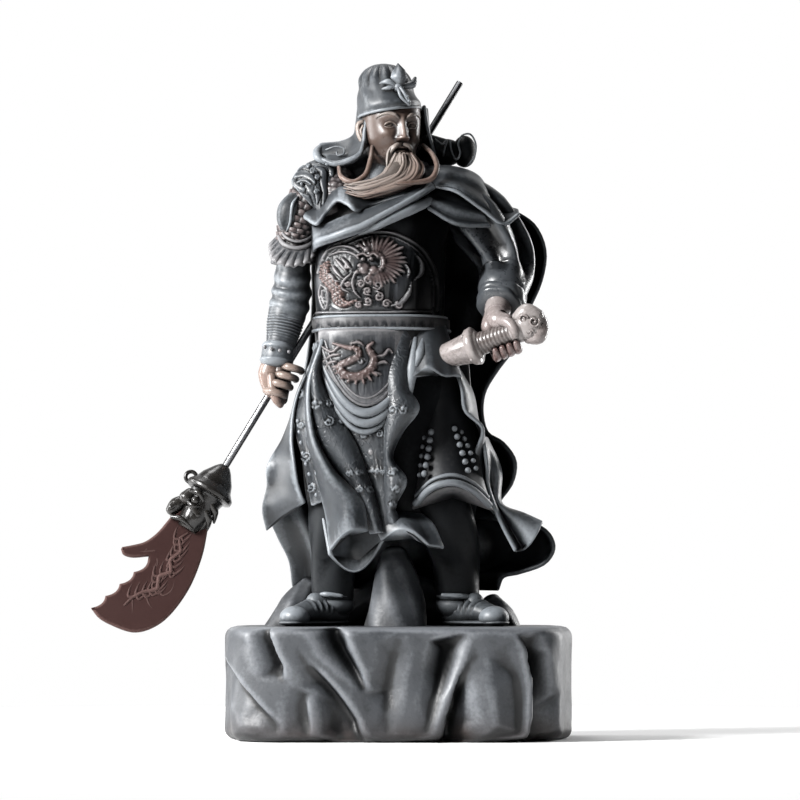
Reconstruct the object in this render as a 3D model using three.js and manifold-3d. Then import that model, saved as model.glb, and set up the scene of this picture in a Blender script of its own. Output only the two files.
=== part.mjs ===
// A cast statuette of a robed warrior on a rock, with a long polearm through one fist.
// Millimetres, +Z up, the figure faces -Y. The origin is the middle of the rock's underside.
import * as THREE from 'three';
import Module from 'manifold-3d';

// Driving dimensions of the rock
const baseWidth = 195;
const baseDepth = 134;
const baseHeight = 63;
const baseEdgeRound = 6;

// Driving dimensions of the figure. Its pose, proportions and carving are shares of its height.
const figureHeight = 316;
const figureOffset = -1.4;
const seatGap = 0.3;
const clothThickness = 2.9;
const seamLength = 2.5;

// Driving dimensions of the polearm
const shaftDiameter = 4;
const shaftBelowGrip = 67;
const shaftAboveGrip = 205;
const shaftClearance = 0.35;
const socketLength = 42;
const socketCapRadius = 11.5;
const boreDepth = 12;
const bladeLength = 79;
const bladeWidth = 44;
const bladeThickness = 4.2;
const bladeBevel = 0.8;
const bladeTang = 9;
const bladeClearance = 0.3;

const wasm = await Module();
wasm.setup();

const unit = figureHeight / 100;
const soleHeight = baseHeight + seatGap;

// A point of the figure, given in hundredths of its height from the middle of its soles
const place = ([x, y, z]) => new THREE.Vector3(
  figureOffset + x * unit, y * unit, soleHeight + z * unit);

const curveThrough = (points) => new THREE.CatmullRomCurve3(points.map(place), false, 'centripetal');
const mix = (a, b, t) => a + (b - a) * t;
const bump = (t) => Math.sin(Math.PI * t);
const hill = (x, centre, width) => Math.exp(-(((x - centre) / width) ** 2));

// The value at t in 0..1 along a list of evenly spaced values
function along(values, t) {
  const list = Array.isArray(values) ? values : [values, values];
  const s = t * (list.length - 1);
  const i = Math.min(Math.floor(s), list.length - 2);
  return mix(list[i], list[i + 1], s - i);
}

// Signed volume of an indexed mesh
function signedVolume(positions, index) {
  let volume = 0;
  const point = (i) => new THREE.Vector3().fromArray(positions, 3 * i);
  for (let i = 0; i < index.length; i += 3) {
    volume += point(index[i]).dot(point(index[i + 1]).cross(point(index[i + 2]))) / 6;
  }
  return volume;
}

// Turns every face of an index round, so that a skin wound inwards faces out
function turnOver(index) {
  for (let i = 0; i < index.length; i += 3) {
    [index[i], index[i + 1]] = [index[i + 1], index[i]];
  }
}

function meshGeometry(positions, index) {
  const geometry = new THREE.BufferGeometry();
  geometry.setAttribute('position', new THREE.Float32BufferAttribute(positions, 3));
  geometry.setIndex(index);
  return geometry;
}

// A closed skin over rings with the same number of points, capped by fans at both ends
function skin(rings, tips = []) {
  const sides = rings[0].length;
  const positions = rings.flat().flatMap((p) => [p.x, p.y, p.z]);
  const index = [];
  for (let i = 0; i + 1 < rings.length; i += 1) {
    for (let k = 0; k < sides; k += 1) {
      const a = i * sides + k;
      const b = i * sides + ((k + 1) % sides);
      index.push(a, b, b + sides, a, b + sides, a + sides);
    }
  }
  [0, rings.length - 1].forEach((i, end) => {
    const middle = rings[i].reduce((sum, p) => sum.add(p), new THREE.Vector3());
    const centre = tips[end] ?? middle.divideScalar(sides);
    const tip = positions.length / 3;
    positions.push(centre.x, centre.y, centre.z);
    for (let k = 0; k < sides; k += 1) {
      const a = i * sides + k;
      const b = i * sides + ((k + 1) % sides);
      if (i === 0) index.push(tip, b, a);
      else index.push(tip, a, b);
    }
  });
  if (signedVolume(positions, index) < 0) turnOver(index);
  return meshGeometry(positions, index);
}

// A rounded bar through points, with radii along it. squash flattens it across "up" and
// wave gives its flutes as a share of the radius.
function limb(points, radii, { sides = 6, steps = Math.round(1.4 * (points.length - 1)),
  squash = 1, up = [0, 1, 0], blunt = 0.5, wave = () => 0 } = {}) {
  const curve = curveThrough(points);
  const rings = [];
  const ring = (centre, tangent, radius, t) => {
    const side = new THREE.Vector3().crossVectors(tangent, new THREE.Vector3(...up)).normalize();
    const lift = new THREE.Vector3().crossVectors(side, tangent).normalize();
    return Array.from({ length: sides }, (_, k) => {
      const angle = (2 * Math.PI * k) / sides;
      const reach = radius * (1 + wave(angle, t));
      return centre.clone()
        .addScaledVector(side, reach * Math.cos(angle))
        .addScaledVector(lift, reach * squash * Math.sin(angle));
    });
  };
  for (let i = 0; i <= steps; i += 1) {
    const t = i / steps;
    rings.push(ring(curve.getPoint(t), curve.getTangent(t), along(radii, t) * unit, t));
  }
  const tip = (t, sign) => curve.getPoint(t)
    .addScaledVector(curve.getTangent(t), sign * blunt * along(radii, t) * unit);
  return skin(rings, [tip(0, -1), tip(1, 1)]);
}

// A closed loft of flattened rings: each level is [height, middle x, middle y, half width, half depth]
function loft(levels, { sides = 20, power = 2.4, wave = () => 0 } = {}) {
  const rings = levels.map(([z, x, y, halfWidth, halfDepth], row) => (
    Array.from({ length: sides }, (_, k) => {
      const angle = (2 * Math.PI * k) / sides;
      const c = Math.cos(angle);
      const s = Math.sin(angle);
      const reach = (Math.abs(c) ** power + Math.abs(s) ** power) ** (-1 / power);
      const swell = 1 + wave(angle, row / (levels.length - 1));
      return place([x + halfWidth * c * reach * swell, y + halfDepth * s * reach * swell, z]);
    })));
  return skin(rings);
}

// A sheet of even thickness over a surface, given as a function of (across, down) in 0..1
function sheet(surface, { across = 6, down = 8, thick = clothThickness } = {}) {
  const step = 1e-3;
  const normal = (u, v) => {
    const du = surface(Math.min(u + step, 1), v).sub(surface(Math.max(u - step, 0), v));
    const dv = surface(u, Math.min(v + step, 1)).sub(surface(u, Math.max(v - step, 0)));
    return du.cross(dv).normalize();
  };
  const rings = [];
  for (let j = 0; j <= down; j += 1) {
    const near = [];
    const far = [];
    for (let i = 0; i <= across; i += 1) {
      const [u, v] = [i / across, j / down];
      const point = surface(u, v);
      const offset = normal(u, v).multiplyScalar(thick / 2);
      near.push(point.clone().add(offset));
      far.unshift(point.sub(offset));
    }
    rings.push([...near, ...far]);
  }
  return skin(rings);
}

// A cloth panel hung between two edges. shape gives what is added to the flat panel, in shares.
function panel(left, right, { shape = () => [0, 0, 0], ...options } = {}) {
  const [from, to] = [curveThrough(left), curveThrough(right)];
  return sheet((u, v) => from.getPoint(v).lerp(to.getPoint(v), u)
    .add(new THREE.Vector3(...shape(u, v)).multiplyScalar(unit)), options);
}

const ball = (centre, radius, stretch = [1, 1, 1], detail = 0) => {
  const geometry = new THREE.IcosahedronGeometry(radius * unit, detail);
  geometry.scale(...stretch);
  geometry.translate(...place(centre).toArray());
  return geometry;
};

// A closed solid from a geometry whose vertices may be doubled along its seams
function solid(geometry) {
  const source = geometry.index ? geometry.toNonIndexed() : geometry;
  const corners = source.getAttribute('position');
  const seen = new Map();
  const positions = [];
  const index = [];
  for (let i = 0; i < corners.count; i += 1) {
    const point = [corners.getX(i), corners.getY(i), corners.getZ(i)];
    const key = point.map((value) => Math.round(value * 1e4)).join();
    if (!seen.has(key)) {
      seen.set(key, positions.length / 3);
      positions.push(...point);
    }
    index.push(seen.get(key));
  }
  const kept = [];
  for (let i = 0; i < index.length; i += 3) {
    const [a, b, c] = index.slice(i, i + 3);
    if (a !== b && b !== c && c !== a) kept.push(a, b, c);
  }
  if (signedVolume(positions, kept) < 0) turnOver(kept);
  return new wasm.Manifold(new wasm.Mesh({
    numProp: 3,
    vertProperties: new Float32Array(positions),
    triVerts: new Uint32Array(kept),
  }));
}

const join = (geometries) => geometries.map(solid).reduce((whole, piece) => whole.add(piece));

// The outer shell of a solid, so that pockets sealed between folds are filled
function outerShell(whole) {
  const mesh = whole.getMesh();
  const parent = Array.from({ length: mesh.vertProperties.length / 3 }, (_, i) => i);
  const root = (i) => {
    let node = i;
    while (parent[node] !== node) {
      parent[node] = parent[parent[node]];
      node = parent[node];
    }
    return node;
  };
  const same = (a, b) => { parent[root(a)] = root(b); };
  (mesh.mergeFromVert ?? []).forEach((vertex, i) => same(vertex, mesh.mergeToVert[i]));
  for (let i = 0; i < mesh.triVerts.length; i += 3) {
    same(mesh.triVerts[i], mesh.triVerts[i + 1]);
    same(mesh.triVerts[i], mesh.triVerts[i + 2]);
  }
  const shells = new Map();
  for (let i = 0; i < mesh.triVerts.length; i += 3) {
    const key = root(mesh.triVerts[i]);
    if (!shells.has(key)) shells.set(key, []);
    shells.get(key).push(...mesh.triVerts.slice(i, i + 3));
  }
  const size = (index) => signedVolume(mesh.vertProperties, index);
  const largest = [...shells.values()].sort((a, b) => size(b) - size(a))[0];
  return meshGeometry(Array.from(mesh.vertProperties), largest);
}

// The trunk inside the robe: [height, middle x, middle y, half width, half depth]
const trunkLevels = [
  [24, -1.5, 2.5, 13, 6.5],
  [34, -1.8, 1.5, 12.5, 7.2],
  [44, -2.4, 0, 11.6, 8.6],
  [49.6, -2.6, -0.6, 10.9, 8.8],
  [50.2, -2.6, -0.6, 11.7, 9.6],
  [51.8, -2.6, -0.7, 11.8, 9.8],
  [52.2, -2.6, -0.8, 12.2, 10.2],
  [54, -2.7, -0.9, 12.3, 10.6],
  [54.5, -2.8, -1.1, 11.3, 9.8],
  [61, -2.9, -1.4, 11.6, 10.3],
  [67, -2.6, -0.8, 11.5, 9.6],
  [72, -2, 0, 12, 8.5],
  [77, -0.6, 0.8, 10.5, 7],
  [80.5, 0, 1, 6, 5.2],
];
const trunkPower = 2.3;

// The trunk's width and depth at a height
function trunkAt(z) {
  const above = trunkLevels.findIndex((level) => level[0] > z);
  const i = Math.max(above, 1);
  const [low, high] = [trunkLevels[i - 1], trunkLevels[i]];
  const t = (z - low[0]) / (high[0] - low[0]);
  return low.map((value, k) => mix(value, high[k], t));
}

// A point on the front of the trunk, raised by a share of the figure's height
function onFront(x, z, raised = 0) {
  const [, middleX, middleY, halfWidth, halfDepth] = trunkAt(z);
  const share = Math.min(Math.abs((x - middleX) / halfWidth), 0.98);
  const depth = (1 - share ** trunkPower) ** (1 / trunkPower);
  return [x, middleY - halfDepth * depth - raised, z];
}

// A raised line on the front of the trunk through [x, z] points
const relief = (points, radii, options = {}) => limb(
  points.map(([x, z]) => onFront(x, z, 0.15)), radii,
  { sides: 4, steps: points.length - 1, squash: 0.8, ...options });

function legs() {
  const shoe = (heel, toe, side) => {
    const middle = heel.map((value, i) => mix(value, toe[i], 0.5));
    return [
      limb([[heel[0], heel[1], 1.9], [middle[0], middle[1], 2.6], [toe[0], toe[1], 1.5]],
        [2.9, 3.2, 2.9, 1.9], { sides: 8, squash: 0.85, up: [0, 0, 1], steps: 4 }),
      limb([[heel[0] - side * 0.3, heel[1], 3.4], [middle[0], middle[1], 4.4]], [2.9, 1.7],
        { sides: 6, up: [0, 0, 1] }),
    ];
  };
  return [
    limb([[-7, 0, 31], [-10.3, -3, 20], [-11.2, 0, 12], [-11.2, 0.6, 5]], [6.4, 5, 3.9, 3.7]),
    limb([[-11.2, 0.6, 7.6], [-11.2, 0.6, 4.6]], [3.5, 4.3]),
    limb([[3, 0, 31], [8.4, -3, 20], [10.4, 0, 12], [11, 1, 5]], [6.4, 5.2, 4.3, 3.8]),
    limb([[10.9, 0.9, 7.6], [10.9, 0.9, 4.6]], [3.9, 4.5]),
    ...shoe([-10.6, 1.4, 0], [-18.4, -6.4, 0], -1),
    ...shoe([10.4, 1.8, 0], [17.8, -6.2, 0], 1),
  ];
}

// Long folded panels of the robe, from the belt to the hem
function skirt() {
  const mound = (front, drop = 0, lean = 0) => (u, v) => (
    [lean * v * bump(u), -front * bump(u), -drop * v * v * bump(u)]);
  return [
    // The back and sides of the robe
    loft([[52, -2.4, 0, 10.6, 8.6], [44, -2.2, 0.8, 12.6, 9.6], [34, -1.6, 2, 15, 10],
      [24, -1, 2.6, 16, 10.5], [16, -0.8, 4, 15.8, 9.4]],
    { sides: 18, wave: (angle, t) => 0.05 * t * Math.cos(9 * angle) }),
    // The fold that opens in a wide cup at the hem
    panel([[-13.4, -3.5, 50], [-15.6, -5, 42], [-15.6, -6, 33], [-13.8, -8, 26], [-12, -9.5, 19],
      [-11.4, -10.5, 13.4]],
    [[-12.6, -7.5, 50], [-15, -9, 42], [-14, -11, 32.8], [-11, -12, 27.2], [-6, -12.6, 21.6],
      [-5.2, -12.6, 16.8]], { shape: mound(3.2, -1.6), across: 5, down: 7 }),
    // The far side of the cup
    panel([[-14, -4, 32], [-13.2, -6, 22], [-11.6, -9.5, 12.6]],
      [[-8, -7, 32], [-6.4, -8.6, 22], [-1.6, -10.2, 16.2]],
      { shape: mound(-1.2, 4.6), across: 5, down: 4 }),
    // The embroidered fold beside it
    panel([[-13.6, -6, 50], [-15.2, -8.2, 44], [-14.6, -9.4, 33], [-10.8, -10.4, 27.5],
      [-6, -11, 21], [-4.4, -10.8, 16.4]],
    [[-12.4, -7.5, 49.4], [-13.4, -9.3, 43.7], [-10.4, -10.6, 37], [-7.4, -11, 32], [-4.4, -10.8, 24],
      [-2.2, -10.6, 16.6]], { shape: mound(1.7), across: 4, down: 6 }),
    // The studded middle panel
    panel([[-12, -8, 47], [-9.6, -9.8, 37], [-6.6, -10, 31], [-4, -10, 24], [-2.6, -10, 17.2]],
      [[-1.4, -10.4, 47], [-1.4, -11.2, 37], [-1.5, -11.4, 31], [-1.5, -11.4, 24],
        [-1, -11, 17]], { shape: mound(0.5), across: 2, down: 4 }),
    // The curtain with the waved edge beside the opening
    panel([[-1.6, -10.2, 50], [-1.7, -11.4, 42], [-1.8, -11.8, 34], [-1.8, -11.6, 26],
      [-1.6, -10.8, 17]],
    [[3.6, -8.6, 50], [3, -9.6, 44.4], [2.2, -11.4, 41.4], [3.8, -12.2, 38], [1, -11.6, 34],
      [-0.8, -10.4, 29.4], [1.6, -12, 25.4], [-0.4, -10.6, 20.4], [1.6, -10.4, 17.6]],
    { shape: (u, v) => [0, -1.5 * bump(u) * (1 - 0.4 * v), 0], across: 3, down: 10 }),
    // The spoon-shaped tongue of the hem
    panel([[-4.5, -9.4, 20], [-3.4, -10.4, 17.4], [-2.4, -10.8, 15.2]],
      [[4.6, -7.4, 19.4], [6.4, -8.8, 17.6], [8, -10.6, 13.8]],
      { shape: (u, v) => [0, -2.4 * bump(u) * v, 2.2 * v * bump(Math.min(1.3 * u, 1))],
        across: 5, down: 3 }),
    // The short flap over the top of the opening
    panel([[3.2, -8.8, 51], [3, -10.2, 47.6], [2.8, -11.4, 44.2]],
      [[9, -6.4, 51], [10, -8.2, 47.6], [11.2, -9.2, 43.4]],
      { shape: mound(1.5, -0.8), across: 4, down: 2 }),
    // The other curtain, right of the opening
    panel([[10.4, -7, 45], [11.6, -8.4, 41.5], [12.2, -8.2, 37.8], [15.2, -7.4, 34.6],
      [13.9, -5.6, 29.6], [14.6, -6.2, 25.4], [16, -7, 21.2]],
    [[10.6, -3, 46], [13.4, -3.4, 41], [14.4, -2.6, 36], [16, -2, 31], [16.6, -1.6, 26],
      [17.4, -1, 20]], { shape: mound(0.8), across: 2, down: 8 }),
    // The flared mail skirt inside the opening
    panel([[5, -5, 41], [4.6, -6.2, 33], [4.2, -7.6, 26], [3.2, -9, 20.8]],
      [[13, -4, 41], [13.8, -5, 33], [15, -6.2, 26], [16.6, -7.6, 20.6]],
      { shape: (u, v) => [0, -2 * bump(u) * (0.5 + v), 3.6 * v * v * bump(u)],
        across: 5, down: 4 }),
    // The raised band along its hem
    limb([[3.4, -9.4, 21.4], [6.4, -12.2, 24.2], [10, -12.6, 25], [13.4, -11, 23.8],
      [16.4, -8, 21.2]], 0.75, { sides: 5, up: [0, 0, 1] }),
    // The embroidered strip over the right thigh
    panel([[-15, -2.4, 46], [-17.6, -3.4, 36], [-16.4, -5, 30], [-14.6, -6.6, 21.4]],
      [[-13.8, -6, 46], [-15.8, -8, 36], [-14.6, -8.4, 30], [-12, -9, 22.4]],
      { shape: mound(0.8), across: 2, down: 5 }),
    // The robe's side flap behind it
    panel([[-13.6, 2.6, 49], [-17.4, 3, 40], [-20, 0.6, 33], [-22.6, -1.8, 28], [-22.6, -0.6, 24.6],
      [-23.4, -1.6, 20.6], [-22.8, -1, 17.2]],
    [[-13.6, -3.6, 49], [-17.6, -3.6, 40], [-18.4, -5.4, 33], [-18, -6.4, 29], [-17.4, -7, 25],
      [-16.6, -6.8, 22.6], [-16.2, -6.4, 21.8]], { shape: mound(-1.2, 0, -0.6), across: 3, down: 8 }),
  ];
}

// The belt, the U-shaped apron with its rims, and the swags under it
function beltAndApron() {
  const cup = (left, right, top, bottom) => Array.from({ length: 9 }, (_, i) => {
    const t = i / 8;
    const dip = bump(t) ** 0.8;
    return [mix(left, right, t) - 0.4 * dip, mix(top, bottom, dip)];
  });
  const swag = (left, right, top, bottom, raised, radius) => limb(
    cup(left, right, top, bottom).map(([x, z]) => onFront(x, z, raised)), radius,
    { sides: 4, steps: 7 });
  return [
    sheet((u, v) => {
      const bottom = mix(49.5, 38.9, bump(mix(0.04, 0.96, u)) ** 0.8);
      const z = mix(50.6, bottom, v);
      return place(onFront(mix(-13, 3.2, u), z, 0.7));
    }, { across: 7, down: 2, thick: 2.2 * unit }),
    swag(-13.2, 3.5, 50, 38.7, 2, 0.55),
    swag(-14, 4.4, 49.5, 35.9, 2.1, [0.5, 0.9, 1, 0.9, 0.5]),
    // The dragon's coil on the apron
    relief([[-9.6, 45.6], [-8.6, 42.8], [-5.6, 41.4], [-2.4, 43], [-1.4, 46], [-3, 48]],
      [0.3, 0.9, 1, 0.8, 0.4].map((r) => r + 1.1), { squash: 1.25, steps: 7, sides: 5 }),
  ];
}

// A boss on the front of the trunk with a fluted rim, as a mane or a rosette
function boss(x, z, radius, height, flutes) {
  const sides = 2 * flutes;
  const profile = [[1, -0.6], [0.92, 0.35], [0.55, 0.45], [0.35, 1]];
  return skin(profile.map(([share, lift]) => Array.from({ length: sides }, (_, k) => {
    const angle = (2 * Math.PI * k) / sides;
    const reach = radius * share * (k % 2 ? 0.84 : 1);
    return place(onFront(x + reach * Math.cos(angle), z + 0.9 * reach * Math.sin(angle),
      lift * height * (k % 2 ? 0.7 : 1)));
  })));
}

// The dragon on the breastplate: its maned face, horn, scaled body and a curl of cloud
function breastplate() {
  const [faceX, faceZ] = [-2.6, 64.4];
  return [
    boss(faceX + 0.6, faceZ, 6.2, 1.7, 14),
    ball(onFront(faceX - 1.6, faceZ - 1.6, 0.9), 1.7),
    relief([[faceX - 2, faceZ + 1.6], [faceX - 4.4, faceZ + 3.2], [faceX - 8, faceZ + 3]],
      [0.5, 0.7, 0.25]),
    relief([[-7, 62.4], [-10.4, 61.4], [-12.2, 58.4], [-10.6, 55.8], [-7, 55.6]],
      [0.5, 1.2, 1.3, 1, 0.5]),
    relief([[-6.4, 60.4], [-5.6, 58], [-3, 57.2], [-0.6, 58.8], [1.4, 57.4]],
      [0.35, 0.7, 0.6, 0.7, 0.3]),
  ];
}

// The scarf across the chest, its layers on the shoulder and its rolled end behind
function scarf() {
  return [
    panel([[-14.4, -1, 72], [-12.8, -6.4, 69.6], [-9, -9.4, 70.4], [-4, -10.4, 73.2], [1, -9.8, 77],
      [5.6, -7, 79.6]],
    [[-14.6, -2.4, 63.8], [-13.4, -8.4, 63.6], [-9.4, -11.8, 65], [-3.8, -12.2, 68],
      [1.8, -11.4, 71.4], [7.2, -8.4, 74]],
    { shape: (u, v) => [0, -1.3 * Math.abs(Math.sin(3 * Math.PI * u)) - 0.6, 0],
      across: 6, down: 7 }),
    // The thin ruffled edge over the mail
    panel([[-15, 0, 73.4], [-13.2, -4.4, 71.6], [-9.6, -6.6, 75.4], [-4.4, -8, 75.4], [0.6, -8, 78]],
      [[-16.6, -3.4, 68.6], [-14.2, -8, 67], [-10.4, -9.4, 71.4], [-5.6, -11.6, 70.2],
        [-0.4, -11, 74]], { across: 2, down: 7 }),
    // The shoulder layers
    panel([[4.6, -3, 81], [9.6, -2, 81.2], [14.4, 0, 79.8], [17.6, 1.6, 75.4], [21.4, 2.4, 73.6]],
      [[6, -8.2, 77.4], [10.4, -9, 76.4], [15, -7.6, 73.4], [19, -6, 70.8], [21.6, -4, 72.6]],
      { shape: (u) => [0, -1 * bump(u), 0.9 * Math.sin(2 * Math.PI * u)], across: 5, down: 6 }),
    panel([[5, -5.4, 77.8], [9.4, -5.6, 76.6], [14, -4.8, 74]],
      [[5.8, -9.4, 73.2], [10.6, -9.2, 70.6], [16.4, -7, 70.4]],
      { shape: (u) => [0, -0.9 * bump(u), 0], across: 3, down: 3 }),
    // The rolled end and its knot
    limb([[4.2, 2.5, 84.6], [7, 2, 84.8], [10, 1.4, 84.8], [12.4, 0.8, 84.5]], [1.9, 2, 2.8, 3.1],
      { sides: 8 }),
    // The raised collar round the neck
    loft([[77.5, 0, 0.6, 7.6, 6.6], [80, 0.2, 0.8, 6.6, 6], [82.4, 0.3, 1, 5, 4.8]], { sides: 10 }),
  ];
}

// The long cape down the back, with lobed edges
function cape() {
  return [
    panel(
      [[-9, 4, 79], [-13.6, 4.4, 73], [-14.8, 5, 66], [-14.8, 5.4, 58], [-15.4, 5.4, 50],
        [-16.8, 5.2, 42], [-18.6, 5, 34], [-21.6, 4, 28], [-20.8, 5.6, 24], [-22.4, 3.4, 20],
        [-20.8, 5, 15.6], [-18.8, 6, 11.4], [-18.2, 7.4, 7]],
      [[14.2, 4, 79.6], [20.8, 2, 73.4], [25.6, 1, 68], [25.2, 1.4, 60.4], [22.2, 2, 53],
        [18.4, 3, 45.6], [15.4, 4, 38.6], [16.2, 3.4, 34.4], [20.4, -0.6, 28.8], [18.2, 2.4, 21.8],
        [22.8, -0.4, 17.4], [27, -2, 13.6], [21.4, 1.4, 9.6], [18, 5, 6.6]],
      { shape: (u, v) => {
        const round = bump(u) ** 0.7;
        const folds = (0.3 + 1.5 * v) * Math.cos(7 * Math.PI * u) * bump(u);
        return [0, (3 + 3.8 * Math.min(1, 4 * v) + 3 * v) * round + folds, 0];
      },
      across: 12, down: 13 }),
  ];
}

// The right arm: pauldron, mail, fringe, ribbed bracer and the fist round the shaft
function rightArm() {
  const grip = gripShare;
  return [
    limb([[-12.4, 0, 78.6], [-15.4, 0, 76], [-17.2, 0.2, 70], [-19, 0.4, 64]], [3, 3.6, 3.9, 3.4]),
    limb([[-13.6, -1.6, 79.6], [-16.2, -1.6, 77.6], [-17.8, -1.4, 75]], [2.2, 2.6, 2]),
    limb([[-17.2, -3, 77], [-16.6, -4, 74.6], [-15.6, -4.2, 71.6]], [1.3, 1.2, 0.6]),
    limb([[-20.4, 0.4, 72.4], [-20.6, -0.6, 69.4], [-19.4, -1.4, 67.2]], [1.6, 1.3, 0.7]),
    loft([[66.4, -18.8, 0.4, 3.9, 4], [63, -19.2, 0.4, 5, 5], [60.6, -19.3, 0.4, 5.2, 5.2]],
      { sides: 16, power: 2, wave: (angle, t) => 0.07 * t * Math.cos(8 * angle) }),
    limb([[-19, 0.4, 63], [-18.8, 0.2, 59], [-19.2, -0.2, 56], [-19.6, -0.6, 54]],
      [3.4, 3.2, 3.9, 3.6, 3]),
    // The bracer with its ribs
    limb([[-19.4, -0.4, 56], [-20, -1, 52], [-20.8, -1.6, 48.4]], [3.4, 3.5, 2.9, 2.2],
      { sides: 8, steps: 10, wave: (angle, t) => 0.07 * Math.cos(10 * Math.PI * t) * (1 - t) }),
    limb([[-20.9, -1.7, 49.2], [-21.2, -2, 46.8]], [2.8, 2.9], { sides: 10 }),
    limb([[-21.6, -2, 47], [-22.2, -2, 44.4], [-21.4, -2.2, 41.8]], [2, 2.1, 1.6]),
    limb([[-20, -2, 45.6], [-20.6, -1.6, 42.6], [-20.4, -1.4, 39.8]], [1.7, 2.2, 1.2]),
    // The curled fingers, in a row down the shaft
    limb([[grip[0] + 1.4, grip[1] - 1.6, grip[2] + 2.4], [grip[0] + 1, grip[1] - 1.6, grip[2] - 2]],
      [1.5, 1.4], { sides: 7, steps: 8, wave: (angle, t) => 0.16 * Math.cos(8 * Math.PI * t) }),
    limb([[-19.4, -2.4, 40.8], [-19.2, -2.6, 38.8]], [1.4, 1.3]),
  ];
}

// The left arm in a wide sleeve with a rolled cuff, and the hand on the sword
function leftArm() {
  const folds = (angle, t) => 0.1 * bump(t) * Math.cos(6 * angle);
  return [
    limb([[10.6, 0, 76], [15, -1, 72], [18.8, -1, 66.6], [19.6, -2, 62.4], [18.8, -5, 59]],
      [5, 5.4, 4.8, 4.4, 3.9], { sides: 12, steps: 6, wave: folds }),
    limb([[19.6, -3, 60.4], [18.7, -5.6, 58.2]], [4.2, 4.7], { sides: 10, up: [0, 0, 1] }),
    limb([[18.9, -5.2, 58.6], [18.2, -7.4, 56.8]], [3.6, 4.1], { sides: 10, up: [0, 0, 1] }),
    limb([[18.4, -6.6, 57.4], [17.8, -9.2, 55]], [2.6, 2.4], { up: [0, 0, 1] }),
  ];
}

// The sword hilt: scabbard throat, oval guard, grip with beads, pommel, and the hand round it
function hiltAndHand() {
  const throat = [10.8, -10.4, 47.9];
  const pommel = [24, -14.4, 53.6];
  const on = (t, lift = 0, front = 0) => [
    mix(throat[0], pommel[0], t) - 0.4 * lift,
    mix(throat[1], pommel[1], t) - front,
    mix(throat[2], pommel[2], t) + lift];
  return [
    limb([[6.2, -5, 46], on(-0.05), on(0.08)], [1.8, 2.6, 2.9], { sides: 9 }),
    limb([on(0.06), on(0.14)], [3.2, 3.4], { sides: 10 }),
    limb([on(0.12), on(0.7)], [2, 2], { sides: 8 }),
    limb([on(0.7), on(0.78)], [2.2, 2.3], { sides: 8 }),
    ball(on(0.93), 2.9, [1.05, 0.7, 1], 1),
    limb([on(0.8, 1.7, 0.2), on(0.94, 2.1, 0.2), on(1.06, 1, 0.2)], [1.3, 1.7, 1.3]),
    limb([on(0.84, -1.7, 0.2), on(0.96, -1.9, 0.2), on(1.06, -0.9, 0.2)], [1.2, 1.6, 1.2]),
    limb([[17.9, -8.8, 55.4], on(0.5, 2.2, 0), on(0.5, 1, 1.6)], [2.3, 2.4, 1.5], { sides: 7 }),
    limb([on(0.44, 1.6, 1), on(0.36, 0.9, 2.1), on(0.33, -0.6, 2.3)], [1.1, 0.9, 0.7], { sides: 5 }),
    // The curled fingers along the grip
    limb([on(0.34, -1.6, 1.4), on(0.76, -1.6, 1.4)], [1.3, 1.2],
      { sides: 7, steps: 8, wave: (angle, t) => 0.18 * Math.cos(8 * Math.PI * t) }),
  ];
}

// The head, turned a little to the left arm's side
const headTurn = THREE.MathUtils.degToRad(22);
const headMiddle = [-0.3, -2, 87.4];

// A point of the head, given from its middle in its own turned frame
function onHead(x, y, z) {
  const [c, s] = [Math.cos(headTurn), Math.sin(headTurn)];
  return [headMiddle[0] + x * c - y * s, headMiddle[1] + x * s + y * c, headMiddle[2] + z];
}

function head() {
  const turned = (points) => points.map((point) => onHead(...point));
  const level = (z, front, back, halfWidth) => {
    const [x, y] = onHead(0, (back - front) / 2, 0);
    return [headMiddle[2] + z, x, y, halfWidth, (front + back) / 2];
  };
  return [
    loft([level(-6.2, 3.4, 2, 2), level(-4.4, 5, 4, 3.8), level(-1.4, 5.6, 5.6, 5),
      level(2, 5.6, 6.4, 5.3), level(5, 5.2, 6.6, 5.3)], { sides: 12, power: 2.1 }),
    limb(turned([[0, -5.3, 1.6], [0, -6.3, -0.6], [0, -6.2, -1.1]]), [0.5, 0.85, 0.9], { sides: 5 }),
    ...[-1, 1].flatMap((side) => [
      limb(turned([[side * 0.7, -5.5, 2.4], [side * 2.4, -5.3, 2.9], [side * 4, -4.2, 2.4]]),
        [0.4, 0.5, 0.3], { sides: 5, steps: 2 }),
      limb(turned([[side * 5.2, 0.2, 1], [side * 5.4, 0.4, -0.6], [side * 5, 0, -2.6]]),
        [0.7, 0.9, 0.6], { sides: 5, steps: 2 }),
      limb(turned([[side * 0.4, -6, -2.2], [side * 2, -5.8, -2.8], [side * 3, -5, -5]]),
        [0.6, 0.7, 0.5], { sides: 5, steps: 2 }),
    ]),
  ];
}

// The beard swept aside in waved locks, with two long thin side locks
function beard() {
  return [
    limb([onHead(0, -4.2, -4.4), [0.8, -8.8, 80.2], [-1.6, -10.4, 77.6], [-5.4, -10.8, 76.2],
      [-9, -9.6, 76.6]], [2.6, 3.2, 2.9, 2.4, 1], { sides: 20, steps: 8, squash: 0.62,
      up: [0, 1, 0], wave: (angle) => 0.07 * Math.cos(10 * angle) }),
    limb([[-4.2, -5.2, 84.4], [-4.8, -7.4, 81.6], [-5.4, -9, 79.2], [-7.8, -9.6, 77.9],
      [-9.6, -8.6, 79], [-10, -6.8, 80.6]], [0.45, 0.6, 0.6, 0.55, 0.4], { sides: 4, steps: 8 }),
    limb([[4.8, -3.8, 84.6], [6.6, -6, 82.6], [7.2, -8, 80.4], [6, -9.4, 78.4], [3.4, -10.2, 77.6],
      [0.4, -11, 77.2]], [0.45, 0.6, 0.6, 0.55, 0.4], { sides: 4, steps: 8 }),
  ];
}

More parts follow.
